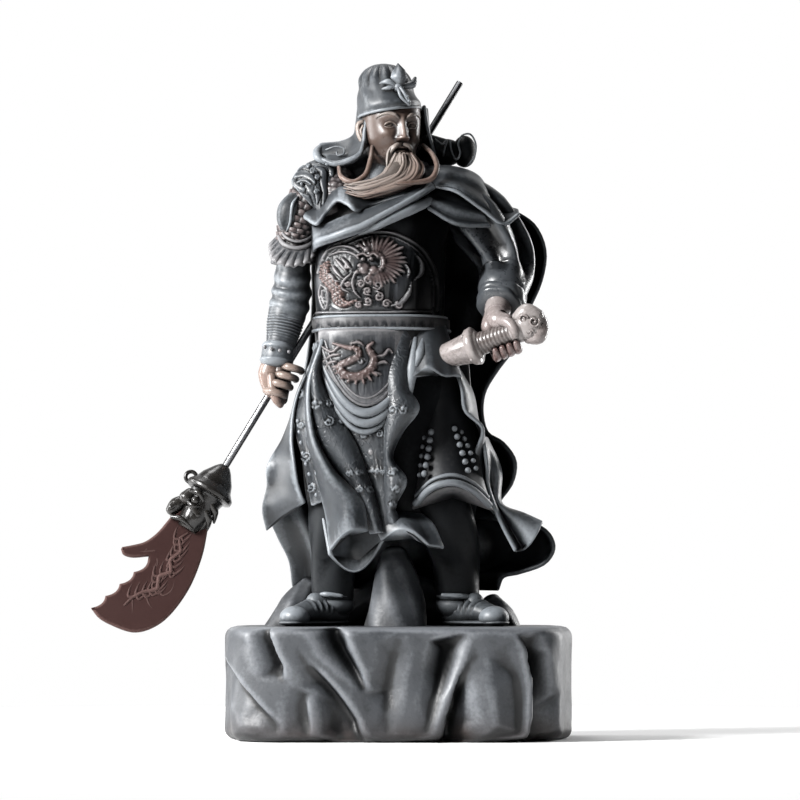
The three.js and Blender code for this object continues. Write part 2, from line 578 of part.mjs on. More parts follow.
// The soft pleated hat with its brow band, knot and tails
function hat() {
  return [
    loft([[90.4, -0.4, -0.2, 5.6, 6.8], [91.4, -0.7, -0.6, 6.1, 7.4], [93.6, -1.1, -0.4, 5.9, 7.2],
      [95.4, -1.4, 0, 5.3, 6], [97.6, -1.9, 0.6, 4.6, 5], [99.3, -2.1, 0.8, 2.8, 3.2]],
    { sides: 16, power: 2.1, wave: (angle, t) => 0.06 * Math.max(0, 2 * t - 1) * Math.cos(8 * angle) }),
    // The knot and the two leaves of the ornament
    ball([0.6, -6.8, 95.2], 1),
    limb([[0.8, -6.6, 95], [1.6, -6.6, 97], [1.3, -5.8, 99]], [0.9, 1.2, 0.4], { sides: 7 }),
    limb([[0, -6.8, 95], [-2, -6.8, 95.6], [-3.2, -6.2, 95]], [0.5, 0.7, 0.4], { sides: 6 }),
    limb([[0.8, -7.2, 94.8], [1.6, -7.6, 93], [2.2, -7.2, 91.6]], [0.5, 0.6, 0.5], { sides: 6 }),
    limb([[-5.6, 2, 95.8], [-6.2, 2, 95]], [1.4, 1.2], { sides: 7 }),
    // The curtain behind the neck and its tails over the shoulders
    panel([[-6.2, -2.4, 92.6], [-6.8, -2, 88.6], [-8.6, -3, 85.4], [-13.2, -3.4, 84.2]],
      [[-5.6, 4, 92.6], [-6, 4, 86], [-6.4, 2, 82.6], [-11.4, -2.8, 81.9]],
      { shape: (u) => [0, 0, -0.8 * bump(u)], across: 3, down: 6 }),
    panel([[-5.8, 3, 92], [-6.6, 4.8, 86], [-7.4, 5, 81]], [[5.4, 3, 92], [6, 4.8, 86], [6.6, 5, 81]],
      { shape: (u) => [0, 2.8 * bump(u), 0], across: 5, down: 3 }),
    panel([[5, -1.6, 92], [5.6, -1, 88], [6.8, -0.4, 84]], [[5.2, 3, 92], [5.8, 4.4, 88], [6.6, 4.8, 82]],
      { across: 2, down: 3 }),
  ];
}

// The polearm lies along its own Z axis, with its origin where the grip holds the shaft
const gripShare = [-21.3, -1.5, 42.8];
const gripPoint = place(gripShare);
const lean = THREE.MathUtils.degToRad(30.9);
const shaftDepthSlope = 0.17;
const shaftAxis = new THREE.Vector3(Math.sin(lean), shaftDepthSlope, Math.cos(lean)).normalize();
const acrossAxis = new THREE.Vector3(Math.cos(lean), 0, -Math.sin(lean));
const faceAxis = new THREE.Vector3().crossVectors(shaftAxis, acrossAxis);
const polearmFrame = new THREE.Matrix4().makeBasis(acrossAxis, faceAxis, shaftAxis)
  .setPosition(gripPoint);

function shaftGeometry(radius, below, above) {
  const geometry = new THREE.CylinderGeometry(radius, radius, below + above, 16);
  geometry.rotateX(Math.PI / 2);
  geometry.translate(0, 0, (above - below) / 2);
  return geometry;
}

// The hole that the shaft passes through, cut in the fist and behind the collar
function tunnel() {
  return shaftGeometry(shaftDiameter / 2 + shaftClearance, 2 * shaftBelowGrip,
    1.5 * shaftAboveGrip).applyMatrix4(polearmFrame);
}

// What lies under the soles, cut away so that they are flat
function ground() {
  const depth = 20;
  const slab = new THREE.BoxGeometry(2 * figureHeight, 2 * figureHeight, depth);
  slab.translate(0, 0, soleHeight - depth / 2);
  return slab;
}

function rockBase() {
  // Slanted creases: [place at the top, place at the bottom] in half widths of the rock, then
  // [depth, width] and the stretch of its height that they run over, [from, to], in heights
  const creases = [
    [-1.12, -0.53, 0.05, 0.05, 0.2, 0.9],
    [-0.8, -0.6, 0.1, 0.08, 0.6, 1],
    [-0.68, -0.1, 0.11, 0.08, 0, 0.75],
    [-0.5, -0.2, 0.12, 0.08, 0.4, 1],
    [0.03, -0.36, 0.12, 0.07, 0.4, 1],
    [0.36, 0.28, 0.17, 0.08, 0, 0.75],
    [0.7, 0.78, 0.12, 0.05, 0, 1],
  ];
  const sides = 64;
  const rows = 6;
  const [halfWidth, halfDepth] = [baseWidth / 2, baseDepth / 2];
  const rings = Array.from({ length: rows + 1 }, (_, j) => {
    const rise = j / rows;
    const edge = Math.min(rise, 1 - rise) * baseHeight;
    const round = edge < baseEdgeRound
      ? baseEdgeRound - Math.sqrt(baseEdgeRound ** 2 - (baseEdgeRound - edge) ** 2) : 0;
    return Array.from({ length: sides }, (_, k) => {
      const angle = (2 * Math.PI * k) / sides;
      const [c, s] = [Math.cos(angle), Math.sin(angle)];
      const reach = (Math.abs(c) ** 5 + Math.abs(s) ** 5) ** -0.2;
      const run = -Math.sign(s || 1) * c * reach;
      const cut = baseHeight * creases.reduce((sum, [top, bottom, depth, width, from, to]) => (
        sum + depth * hill(run, mix(bottom, top, rise), width)
          * hill(rise, (from + to) / 2, (to - from) / 1.2)), 0);
      const inward = 1 - (cut * Math.abs(s) ** 2 + round) / Math.hypot(halfWidth * c, halfDepth * s);
      return new THREE.Vector3(halfWidth * c * reach * inward, halfDepth * s * reach * inward,
        baseHeight * rise);
    });
  });
  const boulder = (points, radii, options) => limb(points, radii, { sides: 8, ...options });
  const rocks = [
    skin(rings),
    // The support cone between the legs and the boulders behind the shoes
    boulder([[-0.6, 0, -1.5], [-0.6, 0, 4], [-0.6, 0.4, 9], [-0.8, 1, 12.4]], [5.6, 4.4, 3, 1.8]),
    boulder([[-20, 5.4, -1.2], [-17, 5.8, 3.6], [-14, 6.2, 6.4]], [3.2, 3, 2.2]),
    boulder([[17.4, 4.8, -1.6], [15.6, 5.2, 2.4], [13.6, 5.6, 4]], [3, 2.4, 1.6]),
  ];
  return outerShell(join(rocks));
}

// The blade with its hooked spur and scalloped back, grown by a clearance where it is a cutter
function bladeForm(grow = 0) {
  const [w, l] = [bladeWidth, bladeLength];
  const at = (x, z) => new THREE.Vector2(x * w, -z * l);
  const shape = new THREE.Shape();
  shape.moveTo(...at(-0.18, 0).toArray());
  shape.lineTo(...at(-0.255, 0.1).toArray());
  shape.splineThru([at(-0.3, 0.25), at(-0.37, 0.34), at(-0.47, 0.4)]);
  shape.lineTo(...at(-0.577, 0.454).toArray());
  shape.lineTo(...at(-0.52, 0.494).toArray());
  shape.splineThru([at(-0.41, 0.482), at(-0.234, 0.414)]);
  const [notch, tip] = [at(-0.215, 0.44), at(-0.51, 0.935)];
  const scallops = 4;
  for (let i = 1; i <= scallops; i += 1) {
    const end = notch.clone().lerp(tip, i / scallops);
    const middle = notch.clone().lerp(tip, (i - 0.5) / scallops);
    shape.quadraticCurveTo(middle.x + 0.09 * w, middle.y, end.x, end.y);
  }
  shape.splineThru([at(-0.37, 0.965), at(-0.19, 0.965), at(0.13, 0.92), at(0.34, 0.77),
    at(0.418, 0.5), at(0.35, 0.227), at(0.205, 0)]);
  shape.closePath();
  const depth = bladeThickness - 2 * bladeBevel + 2 * grow;
  const geometry = new THREE.ExtrudeGeometry(shape, {
    depth, bevelThickness: bladeBevel, bevelSize: bladeBevel, bevelOffset: grow - bladeBevel,
    bevelSegments: 1, curveSegments: 2 });
  geometry.rotateX(Math.PI / 2);
  geometry.translate(0, depth / 2, 0);
  return geometry;
}

// Where the socket and the blade start, along the shaft from the grip
const socketTop = boreDepth - shaftBelowGrip;
const bladeTop = socketTop - socketLength + bladeTang;

// The bell-shaped cap with its hanging ring and the beast's head that holds the blade
function socket() {
  const profile = [[0, 0], [0.24, 0], [0.45, 0.06], [0.8, 0.2], [0.95, 0.3], [1.2, 0.38], [1.2, 0.44],
    [0.9, 0.47], [0.78, 0.6], [0.7, 0.85], [0.5, 1], [0, 1]];
  const cap = new THREE.LatheGeometry(
    profile.map(([r, z]) => new THREE.Vector2(r * socketCapRadius, -z * socketLength)), 14);
  cap.rotateX(Math.PI / 2);
  const knob = (x, y, z, radius) => {
    const geometry = new THREE.IcosahedronGeometry(radius, 0);
    geometry.translate(x, y, z);
    return geometry;
  };
  const [r, l] = [socketCapRadius, socketLength];
  const features = [-1, 1].flatMap((side) => [
    knob(-0.75 * r, side * 0.42 * r, -0.6 * l, 0.42 * r),
    knob(-0.2 * r, side * 0.55 * r, -0.72 * l, 0.34 * r),
  ]);
  const snout = knob(-1 * r, 0, -0.86 * l, 0.42 * r);
  const jaw = knob(0.45 * r, 0, -0.8 * l, 0.5 * r);
  const ring = new THREE.TorusGeometry(0.26 * r, 0.1 * r, 5, 9);
  ring.rotateX(Math.PI / 2);
  ring.translate(-1.15 * r, 0, -0.36 * l);
  const bore = shaftGeometry(shaftDiameter / 2 + shaftClearance, boreDepth, boreDepth);
  const slot = bladeForm(bladeClearance);
  slot.translate(0, 0, -l + bladeTang);
  const whole = join([cap, ...features, snout, jaw, ring]);
  return drawTogether(outerShell(whole.subtract(solid(bore)).subtract(solid(slot))),
    bladeClearance);
}

// Draws together the short edges that crossing forms leave along their seams, where the
// surface stays closed and no face turns over
function drawTogether(geometry, shortest) {
  const positions = Array.from(geometry.getAttribute('position').array);
  let faces = [];
  for (let i = 0; i < geometry.index.count; i += 3) {
    faces.push([0, 1, 2].map((k) => geometry.index.getX(i + k)));
  }
  const point = (i) => new THREE.Vector3().fromArray(positions, 3 * i);
  const normal = (corners) => corners[1].clone().sub(corners[0])
    .cross(corners[2].clone().sub(corners[0])).normalize();
  const around = new Map();
  faces.forEach((face, f) => face.forEach((vertex) => {
    if (!around.has(vertex)) around.set(vertex, new Set());
    around.get(vertex).add(f);
  }));
  const neighbours = (vertex) => new Set([...around.get(vertex)].flatMap((f) => faces[f])
    .filter((other) => other !== vertex));
  const keepsShape = (vertex, gone, target) => [...around.get(vertex)]
    .filter((f) => !faces[f].includes(gone))
    .every((f) => {
      const before = faces[f].map(point);
      const after = faces[f].map((i) => (i === vertex ? target : point(i)));
      return normal(before).dot(normal(after)) > 0.6;
    });
  const collapse = (a, b) => {
    const shared = [...neighbours(a)].filter((vertex) => neighbours(b).has(vertex));
    if (shared.length !== 2) return;
    const target = point(a).add(point(b)).multiplyScalar(0.5);
    if (!keepsShape(a, b, target) || !keepsShape(b, a, target)) return;
    target.toArray(positions, 3 * a);
    [...around.get(b)].forEach((f) => {
      if (faces[f].includes(a)) {
        faces[f].forEach((vertex) => around.get(vertex).delete(f));
        faces[f] = null;
      } else {
        faces[f] = faces[f].map((vertex) => (vertex === b ? a : vertex));
        around.get(a).add(f);
      }
    });
    around.delete(b);
  };
  const edges = faces.flatMap(([a, b, c]) => [[a, b], [b, c], [c, a]])
    .filter(([a, b]) => a < b)
    .map(([a, b]) => [point(a).distanceTo(point(b)), a, b])
    .filter(([length]) => length < shortest)
    .sort((one, other) => one[0] - other[0]);
  edges.forEach(([, a, b]) => {
    if (around.has(a) && around.has(b) && neighbours(a).has(b)
      && point(a).distanceTo(point(b)) < shortest) collapse(a, b);
  });
  faces = faces.filter(Boolean);
  const used = [...new Set(faces.flat())];
  const renumbered = new Map(used.map((vertex, i) => [vertex, i]));
  return meshGeometry(used.flatMap((vertex) => positions.slice(3 * vertex, 3 * vertex + 3)),
    faces.flat().map((vertex) => renumbered.get(vertex)));
}

const finish = (color, roughness, metalness = 0) => new THREE.MeshStandardMaterial(
  { color, roughness, metalness });

function named(name, geometry, material) {
  const mesh = new THREE.Mesh(geometry, material);
  mesh.name = name;
  return mesh;
}

const body = join([...legs(), ...skirt(), loft(trunkLevels, { sides: 18, power: trunkPower }),
  ...beltAndApron(), ...breastplate(), ...scarf(), ...cape(), ...rightArm(), ...leftArm(),
  ...hiltAndHand(), ...head(), ...beard(), ...hat()])
  .subtract(solid(tunnel()))
  .subtract(solid(ground()));

const polearm = new THREE.Group();
polearm.applyMatrix4(polearmFrame);

const shaftMesh = named('polearm_shaft',
  shaftGeometry(shaftDiameter / 2, shaftBelowGrip - seatGap, shaftAboveGrip), finish(0xc9cbd0, 0.15, 1));
const socketMesh = named('polearm_dragon_socket', socket(), finish(0x0b0b0c, 0.15));
socketMesh.position.z = socketTop;
const bladeMesh = named('polearm_blade', bladeForm(), finish(0x5b3a36, 0.5));
bladeMesh.position.z = bladeTop;
polearm.add(shaftMesh, socketMesh, bladeMesh);

const statue = new THREE.Group();
statue.add(
  named('rock_base', rockBase(), finish(0x4a4d52, 0.55)),
  named('figure', drawTogether(outerShell(body), seamLength), finish(0x3c3f44, 0.5)),
  polearm,
);

export default statue;
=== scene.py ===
# %% [markdown]
# # A cast warrior statue with a long polearm
# The real object is a heavy cast statuette: a robed warrior on a rock, with a bright steel rod put
# through one fist. The body and the rock are cast, coloured nearly black and then rubbed with a lighter
# tone, so that every edge and fold catches the light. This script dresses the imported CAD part. It
# builds finer skins over the same named sizes, gives each one its finish, and lights it as in a product
# photograph.

import math

import bpy
import numpy as np
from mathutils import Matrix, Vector
from mathutils.geometry import delaunay_2d_cdt, tessellate_polygon


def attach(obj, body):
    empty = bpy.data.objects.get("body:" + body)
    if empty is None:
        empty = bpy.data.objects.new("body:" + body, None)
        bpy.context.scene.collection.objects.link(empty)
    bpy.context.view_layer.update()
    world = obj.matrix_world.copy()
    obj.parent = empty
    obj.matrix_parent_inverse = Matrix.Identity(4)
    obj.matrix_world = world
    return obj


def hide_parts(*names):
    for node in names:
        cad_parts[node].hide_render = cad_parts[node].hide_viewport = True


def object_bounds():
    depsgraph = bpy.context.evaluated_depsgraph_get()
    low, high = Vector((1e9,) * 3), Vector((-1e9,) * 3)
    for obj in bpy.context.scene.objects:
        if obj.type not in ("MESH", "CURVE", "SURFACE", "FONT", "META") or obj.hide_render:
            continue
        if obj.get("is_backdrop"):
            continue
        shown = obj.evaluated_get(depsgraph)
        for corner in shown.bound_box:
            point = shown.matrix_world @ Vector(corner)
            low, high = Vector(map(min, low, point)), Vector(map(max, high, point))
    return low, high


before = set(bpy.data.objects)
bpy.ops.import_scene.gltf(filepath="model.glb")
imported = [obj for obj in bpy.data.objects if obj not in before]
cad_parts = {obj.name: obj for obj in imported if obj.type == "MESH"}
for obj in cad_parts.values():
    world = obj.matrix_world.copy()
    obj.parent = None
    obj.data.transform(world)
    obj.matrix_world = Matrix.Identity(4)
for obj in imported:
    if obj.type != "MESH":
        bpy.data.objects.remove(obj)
cad_box = [list(corner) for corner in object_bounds()]
print("CAD box in metres:", cad_box)

# %% [markdown]
# ## Camera
# The photograph is taken from low down with a long lens: the rock's top is seen edge-on and the hems a
# little from below. The camera is placed by its distance, and the lens is worked out from the width
# shown.

# %% Camera
MM = 0.001
view_middle = np.array([0.84, 0.0, 189.6]) * MM
view_width = 449 * MM
camera_distance = 2.4
camera_rise = math.radians(-2.4)

camera_data = bpy.data.cameras.new("camera")
camera_data.sensor_width = 36
camera_data.lens = 36 * camera_distance / view_width
camera = bpy.data.objects.new("camera", camera_data)
camera.location = view_middle + camera_distance * np.array(
    [0, -math.cos(camera_rise), math.sin(camera_rise)])
camera.rotation_euler = (math.pi / 2 - camera_rise, 0, 0)
bpy.context.scene.collection.objects.link(camera)
bpy.context.scene.camera = camera
print("lens in millimetres:", round(camera_data.lens, 1))

# %% A helper for node trees
def wire(tree, kind, sockets=None, **settings):
    node = tree.nodes.new(kind)
    for name, value in settings.items():
        setattr(node, name, value)
    for name, value in (sockets or {}).items():
        if isinstance(value, bpy.types.NodeSocket):
            tree.links.new(value, node.inputs[name])
        else:
            node.inputs[name].default_value = value
    return node


def ramp(tree, value, low, high, start=0.0, end=1.0):
    node = wire(tree, "ShaderNodeMapRange", {"From Min": low, "From Max": high,
                                             "To Min": start, "To Max": end})
    tree.links.new(value, node.inputs["Value"])
    return node.outputs[0]


def blend_colour(tree, share, first, second):
    node = tree.nodes.new("ShaderNodeMix")
    node.data_type = "RGBA"
    for socket, value in ((0, share), (6, first), (7, second)):
        if isinstance(value, bpy.types.NodeSocket):
            tree.links.new(value, node.inputs[socket])
        elif socket == 0:
            node.inputs[socket].default_value = value
        else:
            node.inputs[socket].default_value = (*value, 1)
    return node.outputs[2]


# %% [markdown]
# ## Floor and light
# A dark satin object is drawn by what it reflects. A wide pale surround behind it gives thin bright rims,
# a large soft lamp at the upper left gives the broad light on cloth, and the right side is left to
# fall into shade. The floor is plain and pale.

# %% Floor and light
def area_lamp(name, place_at, aim_at, width, height, watts):
    data = bpy.data.lights.new(name, "AREA")
    data.shape = "RECTANGLE"
    data.size = width
    data.size_y = height
    data.energy = watts
    lamp = bpy.data.objects.new(name, data)
    lamp.location = place_at
    away = np.array(place_at, float) - np.array(aim_at, float)
    across = math.hypot(away[0], away[1])
    lamp.rotation_euler = (math.atan2(across, away[2]), 0, math.atan2(away[0], -away[1]))
    bpy.context.scene.collection.objects.link(lamp)


area_lamp("key_lamp", (-1.3, -0.78, 0.9), (0, 0, 0.2), 0.34, 0.75, 70)
area_lamp("front_lamp", (-0.9, -1.7, 0.6), (0, 0, 0.1), 0.3, 0.5, 4)
area_lamp("left_strip_lamp", (-1.0, 0.25, 0.3), (0, 0, 0.2), 0.14, 1.0, 12)
area_lamp("right_strip_lamp", (0.9, 0.75, 0.35), (0, 0, 0.2), 0.12, 1.0, 11)
area_lamp("top_lamp", (-0.3, 0.3, 1.5), (0, 0, 0.2), 0.6, 0.4, 7)

world = bpy.data.worlds.new("studio")
bpy.context.scene.world = world
world.use_nodes = True
sky = world.node_tree
direction = wire(sky, "ShaderNodeTexCoord").outputs["Generated"]
to_the_back = wire(sky, "ShaderNodeSeparateXYZ", {0: direction}).outputs["Y"]
surround = wire(sky, "ShaderNodeMapRange", {"Value": to_the_back, "From Min": 0.4, "From Max": 0.97,
                                            "To Min": 0.005, "To Max": 1.0},
                interpolation_type="SMOOTHSTEP").outputs[0]
seen = wire(sky, "ShaderNodeLightPath").outputs["Is Camera Ray"]
brightness = wire(sky, "ShaderNodeMath", {0: seen, 1: surround}, operation="MAXIMUM").outputs[0]
sky.links.new(brightness, sky.nodes["Background"].inputs["Color"])
sky.nodes["Background"].inputs["Strength"].default_value = 1.0
bpy.context.scene.view_settings.view_transform = "Standard"

bpy.ops.mesh.primitive_circle_add(vertices=96, radius=0.62, fill_type="NGON", location=(0, 0, 0))
floor = bpy.context.object
floor.name = "floor"
floor_finish = bpy.data.materials.new("pale_floor")
floor_finish.use_nodes = True
floor_skin = floor_finish.node_tree.nodes["Principled BSDF"]
floor_skin.inputs["Base Color"].default_value = (0.9, 0.9, 0.9, 1)
floor_skin.inputs["Roughness"].default_value = 0.9
floor_skin.inputs["Specular IOR Level"].default_value = 0.1
floor.data.materials.append(floor_finish)
floor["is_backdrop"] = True

# %% [markdown]
# ## Finishes
# The casting is coloured in three steps: a deep ground colour that stays in the hollows, a satin body
# colour, and a lighter colour rubbed over what stands out. The shader paints light and shade as well: the
# lighter colour on what stands out is also a painted highlight, and the deep colour in hollows and
# closed-in places is also painted shade. Two numbers are stored on every vertex: `proud`, how far it
# stands out of the shape around it, and the rub number, where a second colour was rubbed on, where it is
# below nought where shade is painted, and on the rod where painted reflections lie. The shader mixes the
# three colours by `proud` and by how closed-in a place is, and breaks them up with noise, so that
# nothing is one flat colour.

# %% The cast finish
def cast_finish(name, deep, body, edge, rubbed=None, rough=0.4, pattern=None, grain=0.035, gleam=0.5):
    finish = bpy.data.materials.new(name)
    finish.use_nodes = True
    tree = finish.node_tree
    skin = tree.nodes["Principled BSDF"]
    where = wire(tree, "ShaderNodeTexCoord").outputs["Object"]
    clouds = wire(tree, "ShaderNodeTexNoise", {"Vector": where, "Scale": 45.0, "Detail": 4.0}).outputs[0]
    specks = wire(tree, "ShaderNodeTexNoise", {"Vector": where, "Scale": 520.0, "Detail": 2.0,
                                               "Roughness": 0.5}).outputs[0]
    proud = wire(tree, "ShaderNodeAttribute", attribute_name="proud").outputs["Fac"]
    closed = wire(tree, "ShaderNodeAmbientOcclusion", {"Distance": 0.02}, samples=6).outputs["AO"]

    broken = wire(tree, "ShaderNodeMath", {0: proud, 1: ramp(tree, specks, 0.3, 0.7, 0.86, 1.1)},
                  operation="MULTIPLY").outputs[0]
    if pattern:
        thread = pattern(tree)
        broken = wire(tree, "ShaderNodeMath", {0: broken, 1: ramp(tree, thread, 0.0, 1.0, -0.05, 0.12)},
                      operation="ADD").outputs[0]
    tone = blend_colour(tree, ramp(tree, clouds, 0.35, 0.7, 0.0, 0.22), body,
                        tuple(0.6 * b + 0.4 * e for b, e in zip(body, edge)))
    rub = wire(tree, "ShaderNodeAttribute", attribute_name="rub").outputs["Fac"]
    high = edge
    if rubbed:
        patch = wire(tree, "ShaderNodeMath", {0: rub, 1: ramp(tree, clouds, 0.3, 0.6, 0.6, 1.1)},
                     operation="MULTIPLY").outputs[0]
        tone = blend_colour(tree, patch, tone, rubbed)
        bright = tuple(2.3 * r for r in rubbed)
        high = blend_colour(tree, ramp(tree, patch, 0.0, 1.0, 0.0, 0.75), edge, bright)
    # The lighter edge colour on what stands out is the rubbed tone and also a painted highlight
    tone = blend_colour(tree, ramp(tree, broken, 0.5, 0.95, 0.0, 0.8), tone, high)
    # Hollows darken to the deep colour: partly the ground colour, partly painted shade
    tone = blend_colour(tree, ramp(tree, broken, 0.42, 0.15, 0.0, 0.9), tone, deep)
    # Painted shade: where the rub number is below nought, the colour goes to the deep colour
    tone = blend_colour(tree, ramp(tree, rub, -0.05, -0.95, 0.0, 0.95), tone, deep)
    # Painted shade in closed-in places, from ambient occlusion
    tone = blend_colour(tree, ramp(tree, closed, 0.8, 0.25, 0.0, 0.95), tone, deep)
    tree.links.new(tone, skin.inputs["Base Color"])

    gloss = wire(tree, "ShaderNodeMath", {0: ramp(tree, clouds, 0.3, 0.7, -0.06, 0.08),
                                          1: ramp(tree, specks, 0.3, 0.7, rough - 0.04, rough + 0.06)},
                 operation="ADD").outputs[0]
    tree.links.new(gloss, skin.inputs["Roughness"])
    # Where shade is painted, the sheen is turned down as well
    tree.links.new(ramp(tree, rub, -0.05, -0.9, gleam, 0.12 * gleam), skin.inputs["Specular IOR Level"])

    height = ramp(tree, specks, 0.25, 0.75, 0.0, grain)
    if pattern:
        height = wire(tree, "ShaderNodeMath", {0: height, 1: thread}, operation="ADD").outputs[0]
    bump = wire(tree, "ShaderNodeBump", {"Strength": 0.8, "Distance": 0.0006, "Height": height})
    tree.links.new(bump.outputs[0], skin.inputs["Normal"])
    return finish


def embroidery(tree):
    """Rings and curls of thread in low relief, laid along the cloth."""
    cloth = wire(tree, "ShaderNodeUVMap", uv_map="cloth").outputs[0]
    ruffled = wire(tree, "ShaderNodeTexNoise", {"Vector": cloth, "Scale": 2.2, "Detail": 1.0})
    shifted = wire(tree, "ShaderNodeVectorMath", {0: cloth, 1: ruffled.outputs["Color"]},
                   operation="ADD").outputs[0]
    cells = wire(tree, "ShaderNodeTexVoronoi", {"Vector": shifted, "Scale": 1.15},
                 feature="F1").outputs[0]
    rings = wire(tree, "ShaderNodeMath", {0: cells, 1: 15.0}, operation="MULTIPLY").outputs[0]
    curls = wire(tree, "ShaderNodeMath", {0: rings}, operation="SINE").outputs[0]
    worn = ramp(tree, wire(tree, "ShaderNodeTexNoise", {"Vector": cloth, "Scale": 0.55}).outputs[0],
                0.45, 0.62, 0.12, 0.8)
    return wire(tree, "ShaderNodeMath", {0: ramp(tree, curls, -0.2, 0.6), 1: worn},
                operation="MULTIPLY").outputs[0]


# %% The finishes of this statue
charcoal = dict(deep=(0.0012, 0.0013, 0.0016), body=(0.029, 0.033, 0.038), edge=(0.22, 0.24, 0.26))
copper = (0.075, 0.043, 0.037)
finishes = {
    "robe": cast_finish("charcoal_robe", **charcoal, rubbed=copper),
    "embroidered": cast_finish("embroidered_robe", **charcoal, rubbed=copper, pattern=embroidery),
    # A darker and glossier copy of the robe for the left sleeve: its gloss is the finish, its darkness
    # painted shade
    "sleeve": cast_finish("glossy_sleeve_with_painted_shade", (0.0012, 0.0013, 0.0016), (0.009, 0.0102, 0.012),
                          (0.06, 0.066, 0.073), rough=0.32, gleam=0.65),
    "armour": cast_finish("rubbed_armour", (0.0012, 0.0013, 0.0015), (0.029, 0.032, 0.037),
                          (0.21, 0.205, 0.21), rubbed=copper, rough=0.38),
    "skin": cast_finish("bronze_skin", (0.006, 0.003, 0.0025), (0.070, 0.050, 0.041),
                        (0.27, 0.22, 0.19), rubbed=(0.072, 0.037, 0.028), rough=0.33, grain=0.012),
    "beard": cast_finish("bronze_hair", (0.006, 0.003, 0.0025), (0.052, 0.041, 0.036),
                         (0.27, 0.23, 0.205), rubbed=(0.068, 0.040, 0.030), rough=0.36, grain=0.02),
    "hilt": cast_finish("silvered_hilt", (0.008, 0.004, 0.003), (0.068, 0.057, 0.053),
                        (0.34, 0.31, 0.30), rubbed=(0.042, 0.014, 0.011), rough=0.25, grain=0.012),
    "rock": cast_finish("charcoal_rock", (0.0018, 0.002, 0.0023), (0.046, 0.050, 0.056),
                        (0.17, 0.18, 0.195), rubbed=(0.026, 0.012, 0.007), rough=0.46, grain=0.16),
    "blade": cast_finish("painted_blade", (0.013, 0.0065, 0.006), (0.036, 0.0182, 0.0168),
                         (0.085, 0.050, 0.045), rubbed=(0.056, 0.034, 0.031), rough=0.5, grain=0.04,
                         gleam=0.05),
    "socket": cast_finish("black_socket", (0.002, 0.002, 0.002), (0.009, 0.0083, 0.0078),
                          (0.022, 0.02, 0.018), rough=0.24, grain=0.0),
}
print("finishes:", ", ".join(finishes))

# %% [markdown]
# ## Named sizes and the tools of the modeller
# The statue's sizes are the ones that its CAD solids were made from. Places on the figure are given in
# hundredths of its height from the middle of its soles. Every form is a closed skin over rings of points:
# a limb follows a path, a loft stacks flattened rings, and a cloth is a sheet between two edges.

# %% Named sizes in millimetres
base_width, base_depth, base_height, base_edge_round = 195, 134, 63, 6
figure_height, figure_offset, seat_gap = 316, -1.4, 0.3
cloth_thickness = 2.3
UP = (0, 0, 1)
shaft_diameter, shaft_below_grip, shaft_above_grip = 4, 67, 205
socket_length, socket_cap_radius, bore_depth = 42, 11.5, 12
blade_length, blade_width, blade_thickness, blade_tang = 79, 44, 4.2, 9
unit = figure_height / 100
sole_height = base_height + seat_gap


# %% Places, curves and blends
def place(points):
    points = np.asarray(points, float)
    return np.stack([figure_offset + points[..., 0] * unit, points[..., 1] * unit,
                     sole_height + points[..., 2] * unit], -1)


def mix(a, b, t):
    return a + (b - a) * t


def full_turn(count):
    return np.linspace(0, 2 * np.pi, count, endpoint=False)


def rounded_square(angle, power):
    """Cosine, sine, and how far a circle reaches out when it is squared up by power."""
    c, s = np.cos(angle), np.sin(angle)
    return c, s, (np.abs(c) ** power + np.abs(s) ** power) ** (-1 / power)


def levels_at(levels, heights):
    """The four measures of a table of levels, read at the heights."""
    return (np.interp(heights, levels[:, 0], levels[:, c]) for c in range(1, 5))


def bump(t):
    return np.sin(np.pi * np.clip(t, 0, 1))


def hill(x, centre, width):
    return np.exp(-(((x - centre) / width) ** 2))


def soft_step(x, low, high):
    t = np.clip((x - low) / (high - low), 0, 1)
    return t * t * (3 - 2 * t)


def along(values, t):
    values = np.atleast_1d(np.asarray(values, float))
    if len(values) == 1:
        return np.full(np.shape(t), values[0])
    return np.interp(t, np.linspace(0, 1, len(values)), values)


def knot_gap(a, b):
    return np.maximum(np.linalg.norm(b - a, axis=1, keepdims=True) ** 0.5, 1e-6)


def spline(points, t):
    """A smooth path through points that doesn't swing out between close ones."""
    p = np.asarray(points, float)
    p = np.vstack([2 * p[0] - p[1], p, 2 * p[-1] - p[-2]])
    spans = len(p) - 3
    s = np.clip(np.asarray(t, float), 0, 1) * spans
    i = np.minimum(s.astype(int), spans - 1)
    w = (s - i)[:, None]
    p0, p1, p2, p3 = p[i], p[i + 1], p[i + 2], p[i + 3]
    d0, d1, d2 = knot_gap(p0, p1), knot_gap(p1, p2), knot_gap(p2, p3)
    m1 = ((p1 - p0) / d0 - (p2 - p0) / (d0 + d1) + (p2 - p1) / d1) * d1
    m2 = ((p2 - p1) / d1 - (p3 - p1) / (d1 + d2) + (p3 - p2) / d2) * d1
    return ((2 * p1 - 2 * p2 + m1 + m2) * w ** 3 + (3 * p2 - 3 * p1 - 2 * m1 - m2) * w ** 2
            + m1 * w + p1)


def tangents(points, t):
    step = 1e-3
    ahead = spline(points, np.minimum(t + step, 1)) - spline(points, np.maximum(t - step, 0))
    return ahead / np.linalg.norm(ahead, axis=1, keepdims=True)


def unit_rows(vectors):
    return vectors / np.maximum(np.linalg.norm(vectors, axis=-1, keepdims=True), 1e-9)


# %% [markdown]
# ## One skin for everything
# `skin` closes a stack of rings with a fan at each end and turns its faces outwards. It also notes, for
# each corner, where it lies along and across the cloth in centimetres, which is what the embroidery
# follows.

# %% Closed skins
class Form:
    """A closed skin with its finish. rub is a number or one number a vertex."""

    def __init__(self, points, faces, corner_uv, finish, rub=0.0):
        self.points, self.finish = points, finish
        self.faces, self.corner_uv = faces, corner_uv
        self.rub = np.broadcast_to(np.asarray(rub, float), (len(points),)).copy()


def volume_of(points, triangles):
    a, b, c = (points[triangles[:, k]] for k in range(3))
    return float(np.einsum("ij,ij->i", a, np.cross(b, c)).sum() / 6)


